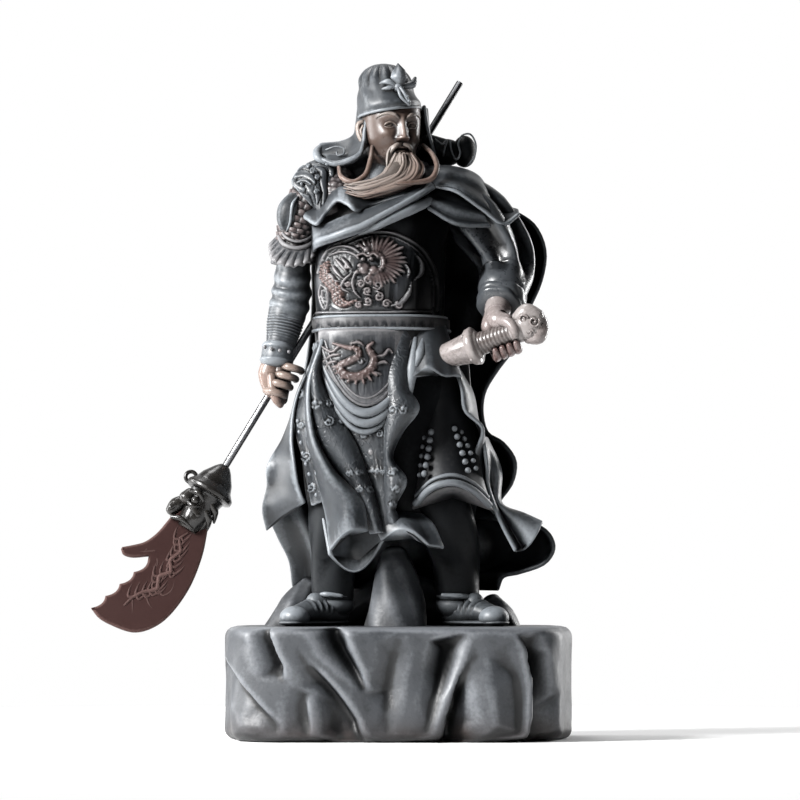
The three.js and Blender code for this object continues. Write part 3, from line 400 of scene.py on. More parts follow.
def skin(rings, finish="robe", rub=0.0, tips=(None, None)):
    rows, sides = rings.shape[:2]
    ends = [rings[0].mean(0) if tips[0] is None else tips[0],
            rings[-1].mean(0) if tips[1] is None else tips[1]]
    points = np.vstack([rings.reshape(-1, 3), ends])
    round_step = np.linalg.norm(np.roll(rings, -1, 1) - rings, axis=2).mean(0)
    around = np.concatenate([[0], np.cumsum(round_step)]) / 10
    down_step = np.linalg.norm(np.diff(rings, axis=0), axis=2).mean(1)
    down = np.concatenate([[0], np.cumsum(down_step)]) / 10
    i, k = np.meshgrid(np.arange(rows - 1), np.arange(sides), indexing="ij")
    i, k = i.ravel(), k.ravel()
    following = (k + 1) % sides
    quads = np.stack([i * sides + k, i * sides + following, (i + 1) * sides + following,
                      (i + 1) * sides + k], 1)
    quad_uv = np.stack([np.stack([around[k], down[i]], 1), np.stack([around[k + 1], down[i]], 1),
                        np.stack([around[k + 1], down[i + 1]], 1),
                        np.stack([around[k], down[i + 1]], 1)], 1)
    k = np.arange(sides)
    following = (k + 1) % sides
    first, last = rows * sides, rows * sides + 1
    fans = np.vstack([np.stack([np.full(sides, first), following, k], 1),
                      np.stack([np.full(sides, last), (rows - 1) * sides + k,
                                (rows - 1) * sides + following], 1)])
    fan_uv = np.zeros((2 * sides, 3, 2))
    triangles = np.vstack([quads[:, [0, 1, 2]], quads[:, [0, 2, 3]], fans])
    if volume_of(points, triangles) < 0:
        quads, quad_uv = quads[:, ::-1], quad_uv[:, ::-1]
        fans, fan_uv = fans[:, ::-1], fan_uv[:, ::-1]
    if not np.isscalar(rub):
        rub = np.asarray(rub, float)
        if rub.shape == rings.shape[:2]:
            rub = np.concatenate([rub.ravel(), [rub[0].mean(), rub[-1].mean()]])
    return Form(points, [quads, fans], [quad_uv, fan_uv], finish, rub)


# %% Carving: low relief drawn as strokes
class Carving:
    """Strokes in places (x, z): the highest one shows, and a groove runs round each."""

    def __init__(self):
        self.strokes = []

    def line(self, points, radii, height=0.5, rub=0.0):
        points = np.asarray(points, float)
        share = np.linspace(0, 1, 5 * (len(points) - 1) + 1)
        path = spline(np.column_stack([points, np.zeros(len(points))]), share)[:, :2]
        self.strokes.append((path, along(radii, share), height, rub))

    def dot(self, x, z, radius, height=0.5, rub=0.0):
        self.line([[x, z], [x + 0.01, z]], radius, height, rub)

    def curl(self, x, z, size, start=0.0, hand=1, thick=0.24, turns=1.2, height=0.4, rub=0.0):
        t = np.linspace(0, 1, 7)
        angle = start + hand * 2 * np.pi * turns * t
        reach = size * (1 - 0.8 * t)
        self.line(np.column_stack([x + reach * np.cos(angle), z + reach * np.sin(angle)]),
                  [0.6 * thick, thick, thick, 1.3 * thick], height, rub)

    def scatter(self, edge_left, edge_right, z_top, z_low, rows, across, size, seed, **options):
        """Curls in loose rows between two sloping edges, each given by its x at the top and below."""
        draw = np.random.default_rng(seed)
        for j in range(rows):
            v = (j + 0.5) / rows
            for i in range(across):
                u = (i + 0.5 + 0.4 * (j % 2) - 0.2 + 0.25 * (draw.random() - 0.5)) / across
                left, right = mix(*edge_left, v), mix(*edge_right, v)
                self.curl(mix(left, right, u), mix(z_top, z_low, v) + 0.3 * (draw.random() - 0.5),
                          size * (0.75 + 0.5 * draw.random()), start=6.3 * draw.random(),
                          hand=1 if draw.random() > 0.5 else -1, **options)

    def stamp(self, x, z, groove=0.22):
        height, rub, ditch = np.zeros(x.shape), np.zeros(x.shape), np.zeros(x.shape)
        for path, radii, rise, red in self.strokes:
            reach = 1.6 * radii.max()
            near = ((x > path[:, 0].min() - reach) & (x < path[:, 0].max() + reach)
                    & (z > path[:, 1].min() - reach) & (z < path[:, 1].max() + reach))
            if not near.any():
                continue
            at_x, at_z = x[near], z[near]
            best = np.full(at_x.shape, 9.0)
            for a, b, ra, rb in zip(path[:-1], path[1:], radii[:-1], radii[1:]):
                run = b - a
                t = (at_x - a[0]) * run[0] + (at_z - a[1]) * run[1]
                t = np.clip(t / max(run @ run, 1e-9), 0, 1)
                gap = np.hypot(at_x - a[0] - t * run[0], at_z - a[1] - t * run[1])
                best = np.minimum(best, gap / mix(ra, rb, t))
            own = rise * np.sqrt(np.clip(1 - best ** 2, 0, 1))
            rub[near] = np.where((own >= height[near]) & (best < 1.2), red, rub[near])
            height[near] = np.maximum(height[near], own)
            ditch[near] = np.maximum(ditch[near], np.clip(1 - np.abs(best - 1.12) / 0.4, 0, 1))
        return height - groove * ditch * (height <= 0), rub


def places_of(grid):
    """Back from millimetres to shares of the figure's height."""
    return (grid[..., 0] - figure_offset) / unit, (grid[..., 2] - sole_height) / unit


# %% Limbs: bars that follow a path
def limb(points, radii, sides=16, steps=None, squash=1.0, up=(0, 1, 0), blunt=0.8, wave=None,
         finish="robe", rub=0.0, placed=False, round_rows=3):
    path = np.asarray(points, float) if placed else place(points)
    scale = 1.0 if placed else unit
    steps = steps or max(4, int(6 * (len(points) - 1)))
    t = np.linspace(0, 1, steps + 1)
    centre, forward = spline(path, t), tangents(path, t)
    radius = along(radii, t) * scale
    cap = np.linspace(0, 0.5 * np.pi, round_rows + 2)[1:-1]
    start = centre[0] - forward[0] * blunt * radius[0] * np.sin(cap[::-1, None])
    end = centre[-1] + forward[-1] * blunt * radius[-1] * np.sin(cap[:, None])
    tips = (centre[0] - forward[0] * blunt * radius[0], centre[-1] + forward[-1] * blunt * radius[-1])
    centre = np.vstack([start, centre, end])
    forward = np.vstack([np.repeat(forward[:1], len(cap), 0), forward,
                         np.repeat(forward[-1:], len(cap), 0)])
    t = np.concatenate([np.zeros(len(cap)), t, np.ones(len(cap))])
    radius = np.concatenate([radius[0] * np.cos(cap[::-1]), radius, radius[-1] * np.cos(cap)])
    side = unit_rows(np.cross(forward, np.asarray(up, float)))
    lift = unit_rows(np.cross(side, forward))
    angle = full_turn(sides)
    reach = radius[:, None] * np.ones(sides)
    if wave is not None:
        reach = reach * (1 + wave(angle[None, :], t[:, None]))
    flat = along(squash, t)[:, None]
    rings = (centre[:, None, :] + side[:, None, :] * (reach * np.cos(angle))[..., None]
             + lift[:, None, :] * (reach * flat * np.sin(angle))[..., None])
    return skin(rings, finish, rub, tips)


# %% Lofts: stacked flattened rings
def loft(levels, sides, rows, power=2.4, wave=None, finish="robe", rub=0.0):
    """Each level is a height, the middle's x and y there, and half the width and depth."""
    share = np.linspace(0, 1, rows + 1)
    rungs = spline(levels, share)
    angle = full_turn(sides)[None, :]
    c, s, reach = rounded_square(angle, power)
    if wave is not None:
        reach = reach * (1 + wave(angle, share[:, None]))
    x = rungs[:, 1:2] + rungs[:, 3:4] * c * reach
    y = rungs[:, 2:3] + rungs[:, 4:5] * s * reach
    rings = place(np.stack([x, y, np.broadcast_to(rungs[:, 0:1], x.shape)], -1))
    return skin(rings, finish, rub)


# %% Cloths: sheets of even thickness with rounded rims
def cloth(grid, thick=cloth_thickness, front=(0, -1, 0), carving=None, finish="robe", rub=0.0):
    rows, columns = grid.shape[:2]
    du, dv = np.gradient(grid, axis=1), np.gradient(grid, axis=0)
    normal = unit_rows(np.cross(du, dv))
    if (normal @ np.asarray(front, float)).mean() < 0:
        normal = -normal
    u, v = np.meshgrid(np.linspace(0, 1, columns), np.linspace(0, 1, rows))
    height, painted = np.zeros((rows, columns)), 0 * u + (rub if np.isscalar(rub) else rub(u, v))
    if carving:
        height, carved_rub = carving.stamp(*places_of(grid))
        height, painted = height * unit, np.maximum(painted, carved_rub)
    rim = np.array([0.25, 0.5, 0.75]) * np.pi

    def section(row_grid, row_normal, row_height, half):
        near = row_grid + row_normal * (half + row_height)[:, None]
        far = (row_grid - row_normal * half)[::-1]
        out_right = unit_rows(row_grid[-1] - row_grid[-2])
        out_left = unit_rows(row_grid[0] - row_grid[1])
        right = [row_grid[-1] + row_normal[-1] * half * math.cos(a) + out_right * half * math.sin(a)
                 for a in rim]
        left = [row_grid[0] + row_normal[0] * half * math.cos(a) + out_left * half * math.sin(a)
                for a in rim[::-1]]
        return np.vstack([near, right, far, left])

    half = thick / 2
    rings = []
    cap = np.array([0.92, 0.7, 0.38])
    top_out, bottom_out = unit_rows(grid[0] - grid[1]), unit_rows(grid[-1] - grid[-2])
    for share in cap[::-1]:
        lift = half * math.sqrt(1 - share ** 2)
        rings.append(section(grid[0] + top_out * lift, normal[0], height[0] * share, half * share))
    rings += [section(grid[j], normal[j], height[j], half) for j in range(rows)]
    for share in cap:
        lift = half * math.sqrt(1 - share ** 2)
        rings.append(section(grid[-1] + bottom_out * lift, normal[-1], height[-1] * share, half * share))
    # The back of a cloth gets painted shade, darker than its front
    wide = np.concatenate([painted, np.repeat(painted[:, -1:], 3, 1), painted[:, ::-1] - 0.5,
                           np.repeat(painted[:, :1], 3, 1)], 1)
    return skin(np.array(rings), finish, np.vstack([wide[:1]] * 3 + [wide] + [wide[-1:]] * 3))


def panel(left, right, shape=None, across=24, down=48, **options):
    v = np.linspace(0, 1, down + 1)
    u = np.linspace(0, 1, across + 1)
    from_edge, to_edge = spline(place(left), v), spline(place(right), v)
    grid = mix(from_edge[:, None, :], to_edge[:, None, :], u[None, :, None])
    if shape is not None:
        across_share, down_share = np.meshgrid(u, v)
        added = np.stack([np.broadcast_to(part, across_share.shape)
                          for part in shape(across_share, down_share)], -1)
        grid = grid + added * unit
    return cloth(grid, **options)


def mound(front, drop=0.0, lean=0.0):
    return lambda u, v: (lean * v * bump(u), -front * bump(u), -drop * v * v * bump(u))


def ball(centre, radius, stretch=(1, 1, 1), finish="robe", rub=0.0, sides=14, rows=8):
    angle = np.linspace(0, np.pi, rows + 1)[1:-1]
    turn = full_turn(sides)
    rings = np.stack([np.sin(angle)[:, None] * np.cos(turn), np.sin(angle)[:, None] * np.sin(turn),
                      np.broadcast_to(np.cos(angle)[:, None], (rows - 1, sides))], -1)
    size = radius * unit * np.asarray(stretch, float)
    middle = place(centre)
    tips = (middle + [0, 0, size[2]], middle - [0, 0, size[2]])
    return skin(middle + rings * size, finish, rub, tips)


# %% [markdown]
# ## The trunk
# The breastplate, belt and apron all sit on the trunk, so its middle, width and depth at any height are
# kept as a small table of levels.

# %% The trunk
trunk_levels = np.array([
    [24, -1.5, 2.5, 13, 6.5], [34, -1.8, 1.5, 12.5, 7.2], [44, -2.4, 0, 11.6, 8.6],
    [49.6, -2.6, -0.6, 10.9, 8.8], [50.2, -2.6, -0.6, 11.7, 9.6], [51.8, -2.6, -0.7, 11.8, 9.8],
    [52.2, -2.6, -0.8, 12.2, 10.2], [54, -2.7, -0.9, 12.3, 10.6], [54.5, -2.8, -1.1, 11.3, 9.8],
    [61, -2.9, -1.4, 11.6, 10.3], [67, -2.6, -0.8, 11.5, 9.6], [72, -2, 0, 12, 8.5],
    [77, -0.6, 0.8, 10.5, 7], [80.5, 0, 1, 6, 5.2]])
trunk_power = 2.3
belt_low, belt_high = 49.5, 54.6


def trunk_skin(carving):
    """The trunk with its carving: rings are close together where the breastplate and belt are."""
    heights = np.concatenate([np.linspace(24, 49.4, 10), np.linspace(49.6, 54.6, 26),
                              np.linspace(54.75, 70, 104), np.linspace(70.5, 80.5, 12)])[:, None]
    turn = np.concatenate([np.linspace(np.pi, 2 * np.pi, 176, endpoint=False),
                           np.linspace(0, np.pi, 26, endpoint=False)])[None, :]
    middle_x, middle_y, half_width, half_depth = levels_at(trunk_levels, heights)
    c, s, reach = rounded_square(turn, trunk_power)
    x, y = half_width * c * reach, half_depth * s * reach
    raised, red = carving.stamp(middle_x + x, heights + 0 * x)
    front = soft_step(-s, 0.05, 0.3)
    out = np.stack([np.sign(c) * np.abs(x / half_width) ** 1.3 / half_width,
                    np.sign(s) * np.abs(y / half_depth) ** 1.3 / half_depth], -1)
    out = unit_rows(out) * (raised * front)[..., None]
    rings = place(np.stack([middle_x + x + out[..., 0], middle_y + y + out[..., 1], heights + 0 * x], -1))
    # Painted shade on the side away from the lamp, deeper above the belt; the belt is darker as well
    painted_side_shade = soft_step(middle_x + x, -0.5, 4.0) * (0.3 + 0.65 * (heights > belt_high))
    belt = 0.5 * (heights > belt_low) * (heights < belt_high)
    return skin(rings, "armour", red * front - painted_side_shade - belt)


# %% The breastplate's carving: a maned beast among clouds
chest = Carving()
for line, width, height in (
        ([[-13.6, 62.2], [-12.7, 64.9], [-11.1, 66.8], [-8.3, 67.9], [-5.9, 68.9], [-1.6, 69.2],
          [1.2, 68.3], [4.6, 66.2], [6.4, 63.4], [7.3, 60], [7.2, 55.6]], 0.3, 0.4),
        ([[-12.9, 61.8], [-12, 64.6], [-10.6, 66.1], [-8, 67.1], [-5.4, 68.1], [-1.6, 68.4], [0.9, 67.6],
          [4, 65.6], [5.7, 63], [6.5, 60], [6.5, 56.2]], 0.13, 0.25),
        ([[-14, 55.2], [-10, 54.95], [-5, 54.9], [0, 54.95], [6, 55.2]], 0.26, 0.4)):
    chest.line(line, width, height)
for k in range(25):
    angle = math.radians(124 - 9.8 * k)
    reach = 4.75 + 0.75 * math.cos(angle - 0.5) + 0.4 * math.sin(2.3 * k)
    bend = 0.12 * math.cos(angle)
    chest.line([[-3.7 + reach * s * math.cos(angle - bend * s), 63.7 + 0.94 * reach * s
                 * math.sin(angle - bend * s)] for s in (0.36, 0.6, 0.85, 1.0)],
               [0.2, 0.4, 0.34, 0.08], 0.5 + 0.1 * math.sin(5.1 * k), 0.75)
for k in range(11):
    angle = math.radians(112 - 20 * k)
    chest.dot(-3.9 + 1.75 * math.cos(angle), 63.6 + 1.7 * math.sin(angle), 0.5, 0.75, 0.6)
# Horns, feathers and whiskers
for line, radii in (
        ([[-11.9, 66], [-9.8, 66.7], [-7.6, 66.3], [-6.3, 65.3]], [0.08, 0.3, 0.36, 0.3]),
        ([[-11.7, 65], [-9.4, 65.7], [-7.4, 65.2], [-6.5, 64.4]], [0.08, 0.26, 0.32, 0.26]),
        ([[-10.5, 64.5], [-9.6, 63.4], [-8.5, 61.9]], [0.12, 0.42, 0.14]),
        ([[-9.5, 64.6], [-8.7, 63.7], [-7.8, 62.5]], [0.12, 0.38, 0.14]),
        ([[-11, 63.3], [-10.4, 62.2], [-9.3, 60.9]], [0.12, 0.4, 0.14]),
        ([[-7.8, 61.6], [-8.9, 60.6], [-9.4, 59.3], [-8.2, 58.4]], [0.16, 0.3, 0.28, 0.12]),
        ([[-7, 62], [-7.5, 60.4], [-7.2, 58.6], [-6.2, 57.4]], [0.2, 0.26, 0.26, 0.12]),
        ([[-12.2, 62], [-11.2, 61.6], [-10.6, 60.6], [-9.6, 60.3]], [0.1, 0.24, 0.24, 0.1])):
    chest.line(line, radii, 0.55, 0.15)
# The beast's face: muzzle, nose, cheek, brows, eyes and knob
for x, z, radius, height, red in ((-5.5, 62.5, 1.05, 0.8, 0.5), (-6.2, 63.1, 0.45, 1, 0.4),
                                  (-3.9, 62.2, 0.85, 0.85, 0.7), (-5.1, 65.9, 0.72, 0.8, 0.5),
                                  (-5.7, 64.2, 0.42, 0.95, 0.3), (-4.3, 64.3, 0.42, 0.95, 0.4),
                                  (-6.7, 62, 0.4, 0.7, 0.4), (-6.6, 66.6, 0.4, 0.6, 0.3)):
    chest.dot(x, z, radius, height, red)
chest.line([[-6.6, 64.9], [-5.6, 65.2], [-4.8, 64.7], [-3.9, 65.2], [-3.1, 64.6]], 0.28, 0.95, 0.5)
# The scaled body winds down to the belt
body_path = spline([[-12.3, 63.6, 0], [-12.4, 61.6, 0], [-11.4, 60.2, 0], [-10.3, 59, 0],
                    [-10.2, 57.4, 0], [-9.2, 56.4, 0], [-7.6, 56.6, 0]], np.linspace(0, 1, 24))[:, :2]
chest.line(body_path[::4], [0.4, 0.9, 1.15, 1.2, 1, 0.6], 0.5, 1.0)
for k, (x, z) in enumerate(body_path):
    for side in (-0.6, 0, 0.6):
        chest.dot(x + side * 0.9 + 0.15 * (k % 2), z + side * 0.5, 0.27, 0.72, 1.0)
chest.line([[-12.9, 60], [-13.3, 58.6], [-12.9, 56.6], [-12.2, 55.6], [-11.8, 57.2], [-12, 59],
            [-12.9, 60]], 0.17, 0.5, 0.1)
chest.line([[-12.8, 59], [-12.8, 57.6], [-12.4, 56.6]], 0.16, 0.4, 0.1)
# Clouds and the two crescents at the shaded side
for x, z, size, start, hand in ((-4.7, 60.5, 0.95, 0.4, 1), (-6.1, 59.8, 0.75, 2.4, -1),
                                (-3.2, 59.6, 0.85, 3.6, 1), (-4.9, 58.6, 0.8, 5.2, -1),
                                (-6.4, 56.2, 0.7, 1, 1), (-4.9, 56.8, 0.8, 4, 1),
                                (-3, 57.6, 0.9, 1.8, -1), (-1.6, 56.4, 0.8, 0.2, 1),
                                (-8.3, 59.9, 0.55, 3, 1), (0.6, 56.2, 0.7, 2.2, 1),
                                (-8.4, 63, 0.5, 1.2, 1), (-9.6, 67.3, 0.35, 0, 1)):
    chest.curl(x, z, size, start=start, hand=hand, height=0.5, rub=0.35)
chest.line([[-0.9, 56], [1, 56.7], [2.2, 58.2], [2.7, 60.2]], [0.1, 0.42, 0.4, 0.08], 0.5, 0.1)
chest.line([[3.4, 65.2], [4.5, 63.6], [4.4, 61.8], [3.2, 60.6]], [0.08, 0.36, 0.4, 0.1], 0.5, 0.1)
chest.line([[1.6, 63.4], [2.3, 62.2], [2.1, 61]], [0.08, 0.3, 0.08], 0.45, 0.2)
# The belt's band of low scrolls
for k in range(13):
    chest.curl(-13.4 + 1.62 * k, 52.1, 0.5, start=2 * k, hand=(-1) ** k, thick=0.16, height=0.12)
figure_forms = [trunk_skin(chest)]
print("forms so far:", len(figure_forms))

# %% [markdown]
# ## Legs and shoes
# The trousers are tucked into short boots. A boot's straps are too regular to carve one by one, so they
# are a wave on the skin of the limb: a wave gives each point's reach as a share of the radius. The toe
# cap, the heel's counter and the sole are forms of their own.

# %% Legs and shoes
def shoe(heel, toe, side):
    middle = [mix(heel[i], toe[i], 0.5) for i in range(3)]

    def straps(angle, t):
        over_top = soft_step(np.sin(angle), -0.2, 0.3)
        lacing = bump(np.clip((t - 0.26) / 0.44, 0, 1)) * over_top
        return 0.075 * np.cos(2 * np.pi * (10 * t + 0.35 * np.cos(angle))) * lacing ** 0.4

    # The boot, its heel's counter and its sole get painted shade; the toe cap does not
    return [
        limb([[heel[0], heel[1], 1.9], [middle[0], middle[1], 2.6], [toe[0], toe[1], 1.5]],
             [2.6, 2.9, 2.3, 1.9], sides=32, squash=0.85, up=UP, steps=84, blunt=0.7,
             wave=straps, rub=-0.5, round_rows=6),
        limb([[heel[0] - side * 0.3, heel[1], 3.4], [middle[0], middle[1], 4.2]], [2.7, 1.6],
             up=UP, steps=10, rub=-0.4),
        # The round toe cap, the heel's counter and the sole
        ball([mix(heel[0], toe[0], 0.92), mix(heel[1], toe[1], 0.92), 1.45], 2.55, (1.06, 1.06, 0.8),
             sides=28, rows=16, rub=0.0),
        limb([[heel[0], heel[1], 0.55], [middle[0], middle[1], 0.5], [toe[0], toe[1], 0.5]],
             [2.5, 2.55, 2.4], sides=28, squash=0.24, up=UP, steps=24, rub=-0.4),
    ]


# The legs and the trousers tucked into the boots get painted shade
for leg, leg_radii, twist, leg_rub, tuck, tuck_radii in (
        ([[-7, 0, 31], [-10.3, -3, 20], [-11.2, 0, 12], [-11.2, 0.6, 5]], [6.4, 5, 3.9, 3.7], 9, -0.9,
         [[-11.2, 0.6, 7.8], [-11.2, 0.4, 4]], [3.1, 3.6]),
        ([[3, 0, 31], [8.4, -3, 20], [10.4, 0, 12], [11, 1, 5]], [6.4, 5.2, 4.3, 3.8], -9, -1,
         [[10.9, 0.9, 7.8], [10.9, 0.9, 4]], [3.4, 3.8])):
    figure_forms += [
        limb(leg, leg_radii, sides=32, steps=40, rub=leg_rub,
             wave=lambda a, t: 0.05 * np.cos(5 * a + twist * t) * bump(t)),
        limb(tuck, tuck_radii, sides=32, steps=20, rub=-0.45,
             wave=lambda a, t: 0.05 * np.cos(19 * t + 1.5 * np.sin(a))),
    ]
figure_forms += [
    *shoe([-10.6, 1.4, 0], [-18.4, -6.4, 0], -1),
    *shoe([10.4, 1.8, 0], [17.8, -6.2, 0], 1),
    # The boot's turned top and a knot of cord at its front
    limb([[-14, -1.2, 5.2], [-12.4, -3.2, 5.5], [-9.6, -3.2, 5.2]], [0.35, 0.5, 0.35], sides=8),
    limb([[8.2, -3.2, 5.4], [11.2, -3.4, 5.2], [14.2, -1.4, 4.9]], [0.35, 0.5, 0.35], sides=8),
]

# %% [markdown]
# ## The robe
# Long cloths hang from the belt and part at the left leg. Each is a sheet between two carved edges, and
# the folds are added to it as waves in depth. Two of them are embroidered, which the finish shows in
# low relief.

# %% The robe
motifs = Carving()
motifs.scatter((-15, -12.6), (-11.6, -8.2), 40.5, 34, 2, 2, 0.85, 11, thick=0.2, height=0.25)
motifs.scatter((-9, -6.6), (-6, -3.8), 28, 22.5, 2, 2, 0.7, 12, thick=0.18, height=0.22)
motifs.scatter((-18, -15), (-15.4, -12.2), 42, 23, 7, 1, 0.8, 13, thick=0.2, height=0.28)
motifs.scatter((-1.2, -1), (2.6, 2.4), 39, 36.5, 1, 2, 0.7, 14, thick=0.18, height=0.22)
motifs.scatter((-1.2, -1.2), (0.8, 0.6), 28, 20, 3, 1, 0.7, 15, thick=0.18, height=0.22)
motifs.curl(-5.4, 33.4, 1, thick=0.22, turns=1, height=0.34)
motifs.dot(-5.4, 33.4, 0.42, 0.36)
motifs.curl(-2.9, 33.6, 0.75, start=2, hand=-1, thick=0.2, height=0.3)
for k in range(4):
    motifs.curl(-4.9 + 0.9 * k, 27.3 - 0.25 * abs(k - 1.5), 0.48, start=1.5 * k, hand=(-1) ** k,
                thick=0.17, height=0.3)
figure_forms += [
    # The back and sides of the robe, darkened with painted shade
    loft([[52, -2.4, -0.2, 10.6, 8.4], [44, -2.2, 0.2, 12.6, 8.8], [34, -1.6, 1, 15, 8.8],
          [24, -1, 1.4, 15, 8.8], [16, -0.6, 1.8, 13.4, 8.2]], sides=144, rows=28,
         wave=lambda a, t: 0.05 * t * np.cos(9 * a), rub=-0.9),
    # The fold that opens in a wide cup at the hem
    panel([[-13.4, -3.5, 50], [-15.6, -5, 42], [-15.6, -6, 33], [-13.8, -8, 26], [-12, -9.5, 19],
           [-11.4, -10.5, 13.4]],
          [[-12.6, -7.5, 50], [-15, -9, 42], [-14, -11, 32.8], [-11, -12, 27.2], [-6, -12.6, 21.6],
           [-5.2, -12.6, 16.8]], shape=mound(3.2, -1.6), across=30, down=60),
    # The far side of the cup
    panel([[-14, -4, 32], [-13.2, -6, 22], [-11.6, -9.5, 12.6]],
          [[-8, -7, 32], [-6.4, -8.6, 22], [-1.6, -10.2, 16.2]], shape=mound(-1.2, 4.6),
          across=28, down=30),
    # The embroidered fold beside it, with motifs near its top and its hem
    panel([[-13.6, -6, 50], [-15.2, -8.2, 44], [-14.6, -9.4, 33], [-10.8, -10.4, 27.5],
           [-6, -11, 21], [-4.4, -10.8, 16.4]],
          [[-12.4, -7.5, 49.4], [-13.4, -9.3, 43.7], [-10.4, -10.6, 37], [-7.4, -11, 32],
           [-4.4, -10.8, 24], [-2.2, -10.6, 16.6]], shape=mound(1.7), across=40, down=130,
          finish="embroidered", carving=motifs),
    # The studded middle panel
    panel([[-12, -8, 47], [-9.6, -9.8, 37], [-6.6, -10, 31], [-4, -10, 24], [-2.6, -10, 17.2]],
          [[-1.4, -10.4, 47], [-1.4, -11.2, 37], [-1.5, -11.4, 31], [-1.5, -11.4, 24],
           [-1, -11, 17]], shape=mound(0.5), across=40, down=110, finish="embroidered", carving=motifs),
    # The curtain with the waved edge beside the opening
    panel([[-1.6, -8.8, 53], [-1.7, -11.4, 42], [-1.8, -11.8, 34], [-1.8, -11.6, 26],
           [-1.6, -10.8, 17]],
          [[3.6, -7.6, 53], [3, -9.6, 44.4], [2.2, -11.4, 41.4], [3.8, -12.2, 38], [1, -11.6, 34],
           [-0.8, -10.4, 29.4], [1.6, -12, 25.4], [-0.4, -10.6, 20.4], [1.6, -10.4, 17.6]],
          shape=lambda u, v: (0, -1.5 * bump(u) * (1 - 0.4 * v), 0), across=28, down=110,
          finish="embroidered", carving=motifs),
    # The spoon-shaped tongue of the hem
    panel([[-4.5, -9.4, 20], [-3.4, -10.4, 17.4], [-2.4, -10.8, 15.2]],
          [[4.6, -7.4, 19.4], [6.4, -8.8, 17.6], [8, -10.6, 13.8]],
          shape=lambda u, v: (0, -2.4 * bump(u) * v, 2.2 * v * bump(np.minimum(1.3 * u, 1))),
          across=32, down=22),
    # The short flap over the top of the opening, with light painted shade
    panel([[3.2, -7.6, 53], [3, -10.2, 47.6], [2.8, -11.4, 44.2]],
          [[8.4, -5.2, 53], [10, -8.2, 47.6], [11.2, -9.2, 43.4]],
          shape=lambda u, v: (0, -1.5 * bump(u) - 0.14 * v * np.cos(5 * np.pi * u),
                              0.8 * v * v * bump(u) - 0.5 * v * v * np.cos(3 * np.pi * u)),
          across=36, down=24, rub=-0.3),
    # The other curtain, right of the opening, with light painted shade
    panel([[9.2, -5.4, 49], [11.6, -8.4, 41.5], [12.2, -8.2, 37.8], [15.2, -7.4, 34.6],
           [13.9, -5.6, 29.6], [14.6, -6.2, 25.4], [16, -7, 21.2]],
          [[9.4, -2, 49], [13.4, -3.4, 41], [14.4, -2.6, 36], [16, -2, 31], [16.6, -1.6, 26],
           [17.4, -1, 20]], shape=mound(0.8), across=14, down=64, rub=-0.3),
    # The flared mail skirt inside the opening, and the doubled rim along its hem, both with painted shade
    # that is lighter at the skirt's hem
    panel([[5.4, -5, 49], [5, -5, 41], [4.6, -6.2, 33], [4.2, -7.6, 26], [3.2, -9, 20.8]],
          [[12.4, -4, 49], [13, -4, 41], [13.8, -5, 33], [15, -6.2, 26], [16.6, -7.6, 20.6]],
          shape=lambda u, v: (0, -2 * bump(u) * (0.5 + v), 3.6 * v * v * bump(u)),
          across=30, down=44, finish="armour", rub=lambda u, v: -0.8 + 0.35 * hill(v, 1, 0.2)),
    limb([[3.4, -9.4, 21.4], [6.4, -12.2, 24.2], [10, -12.6, 25], [13.4, -11, 23.8],
          [16.4, -8, 21.2]], 0.62, sides=10, steps=36, up=UP, rub=-0.3),
    limb([[3.6, -9.2, 22.8], [6.5, -11.4, 25.5], [10, -11.9, 26.3], [13.3, -10.4, 25.1],
          [16.1, -7.6, 22.6]], 0.42, sides=8, steps=36, up=UP, rub=-0.3),
    # The tail of the robe that swings out to the cape's lower lobe
    panel([[15.4, -5.4, 33], [16, -5.4, 28], [16.2, -5.4, 24.4], [18.2, -5.6, 18.8], [20.9, -6.2, 13.4]],
          [[16, -2, 33], [18.4, -2.2, 27.6], [18.6, -2.4, 21.4], [22.6, -3, 19.6], [25.6, -3.6, 18.2]],
          shape=lambda u, v: (0, 1.6 * v * np.sin(2 * np.pi * u), -1.6 * v * v * np.sin(np.pi * u)),
          across=22, down=44),
    # The embroidered strip over the right thigh
    panel([[-15, -2.4, 46], [-17.6, -3.4, 36], [-16.4, -5, 30], [-14.6, -6.6, 21.4]],
          [[-13.8, -6, 46], [-15.8, -8, 36], [-14.6, -8.4, 30], [-12, -9, 22.4]],
          shape=mound(0.8), across=22, down=100, finish="embroidered", carving=motifs),
    # The robe's side flap behind it
    panel([[-13.6, 2.6, 49], [-17.4, 3, 40], [-20, 0.6, 33], [-22.6, -1.8, 28], [-22.6, -0.6, 24.6],
           [-23.4, -1.6, 20.6], [-22.8, -1, 17.2]],
          [[-13.6, -3.6, 49], [-17.6, -3.6, 40], [-18.4, -5.4, 33], [-18, -6.4, 29],
           [-17.4, -7, 25], [-16.6, -6.8, 22.6], [-16.2, -6.4, 21.8]],
          shape=mound(-1.2, 0, -0.6), across=24, down=64),
]
# Narrow ridges of gathered cloth that fall from the belt right of the apron, with light painted shade
for x_top, x_low, z_low, thick in ((0.6, 0.2, 38, 1.1), (3.4, 2.4, 40, 1.0), (4.8, 3.6, 45.5, 0.8)):
    figure_forms.append(limb([[x_top, -9.6, 50.4], [mix(x_top, x_low, 0.5), -11.2, mix(50, z_low, 0.5)],
                              [x_low, -11.6, z_low]], [0.4 * thick, thick, 0.4 * thick], sides=14,
                             squash=0.7, rub=-0.15))
print("forms so far:", len(figure_forms))

# %% [markdown]
# ## Belt, apron and swags
# Three U-shaped cloths hang one over another from the belt. Their outline is one dipping curve with
# different sizes, so one function gives the apron, its double rim and the swags below.

# %% Belt, apron and swags
def on_belly(x, z, raised=0.0):
    """A point in front of the robe below the belt, where the apron and the swags hang."""
    x, z = np.broadcast_arrays(np.asarray(x, float), np.asarray(z, float))
    share = np.minimum(np.abs((x + 4.8) / 10.6), 0.97)
    depth = (1 - share ** 2.3) ** (1 / 2.3)
    return np.stack([x, -1.2 - (9.6 + 0.09 * (50 - z)) * depth - raised, z], -1)


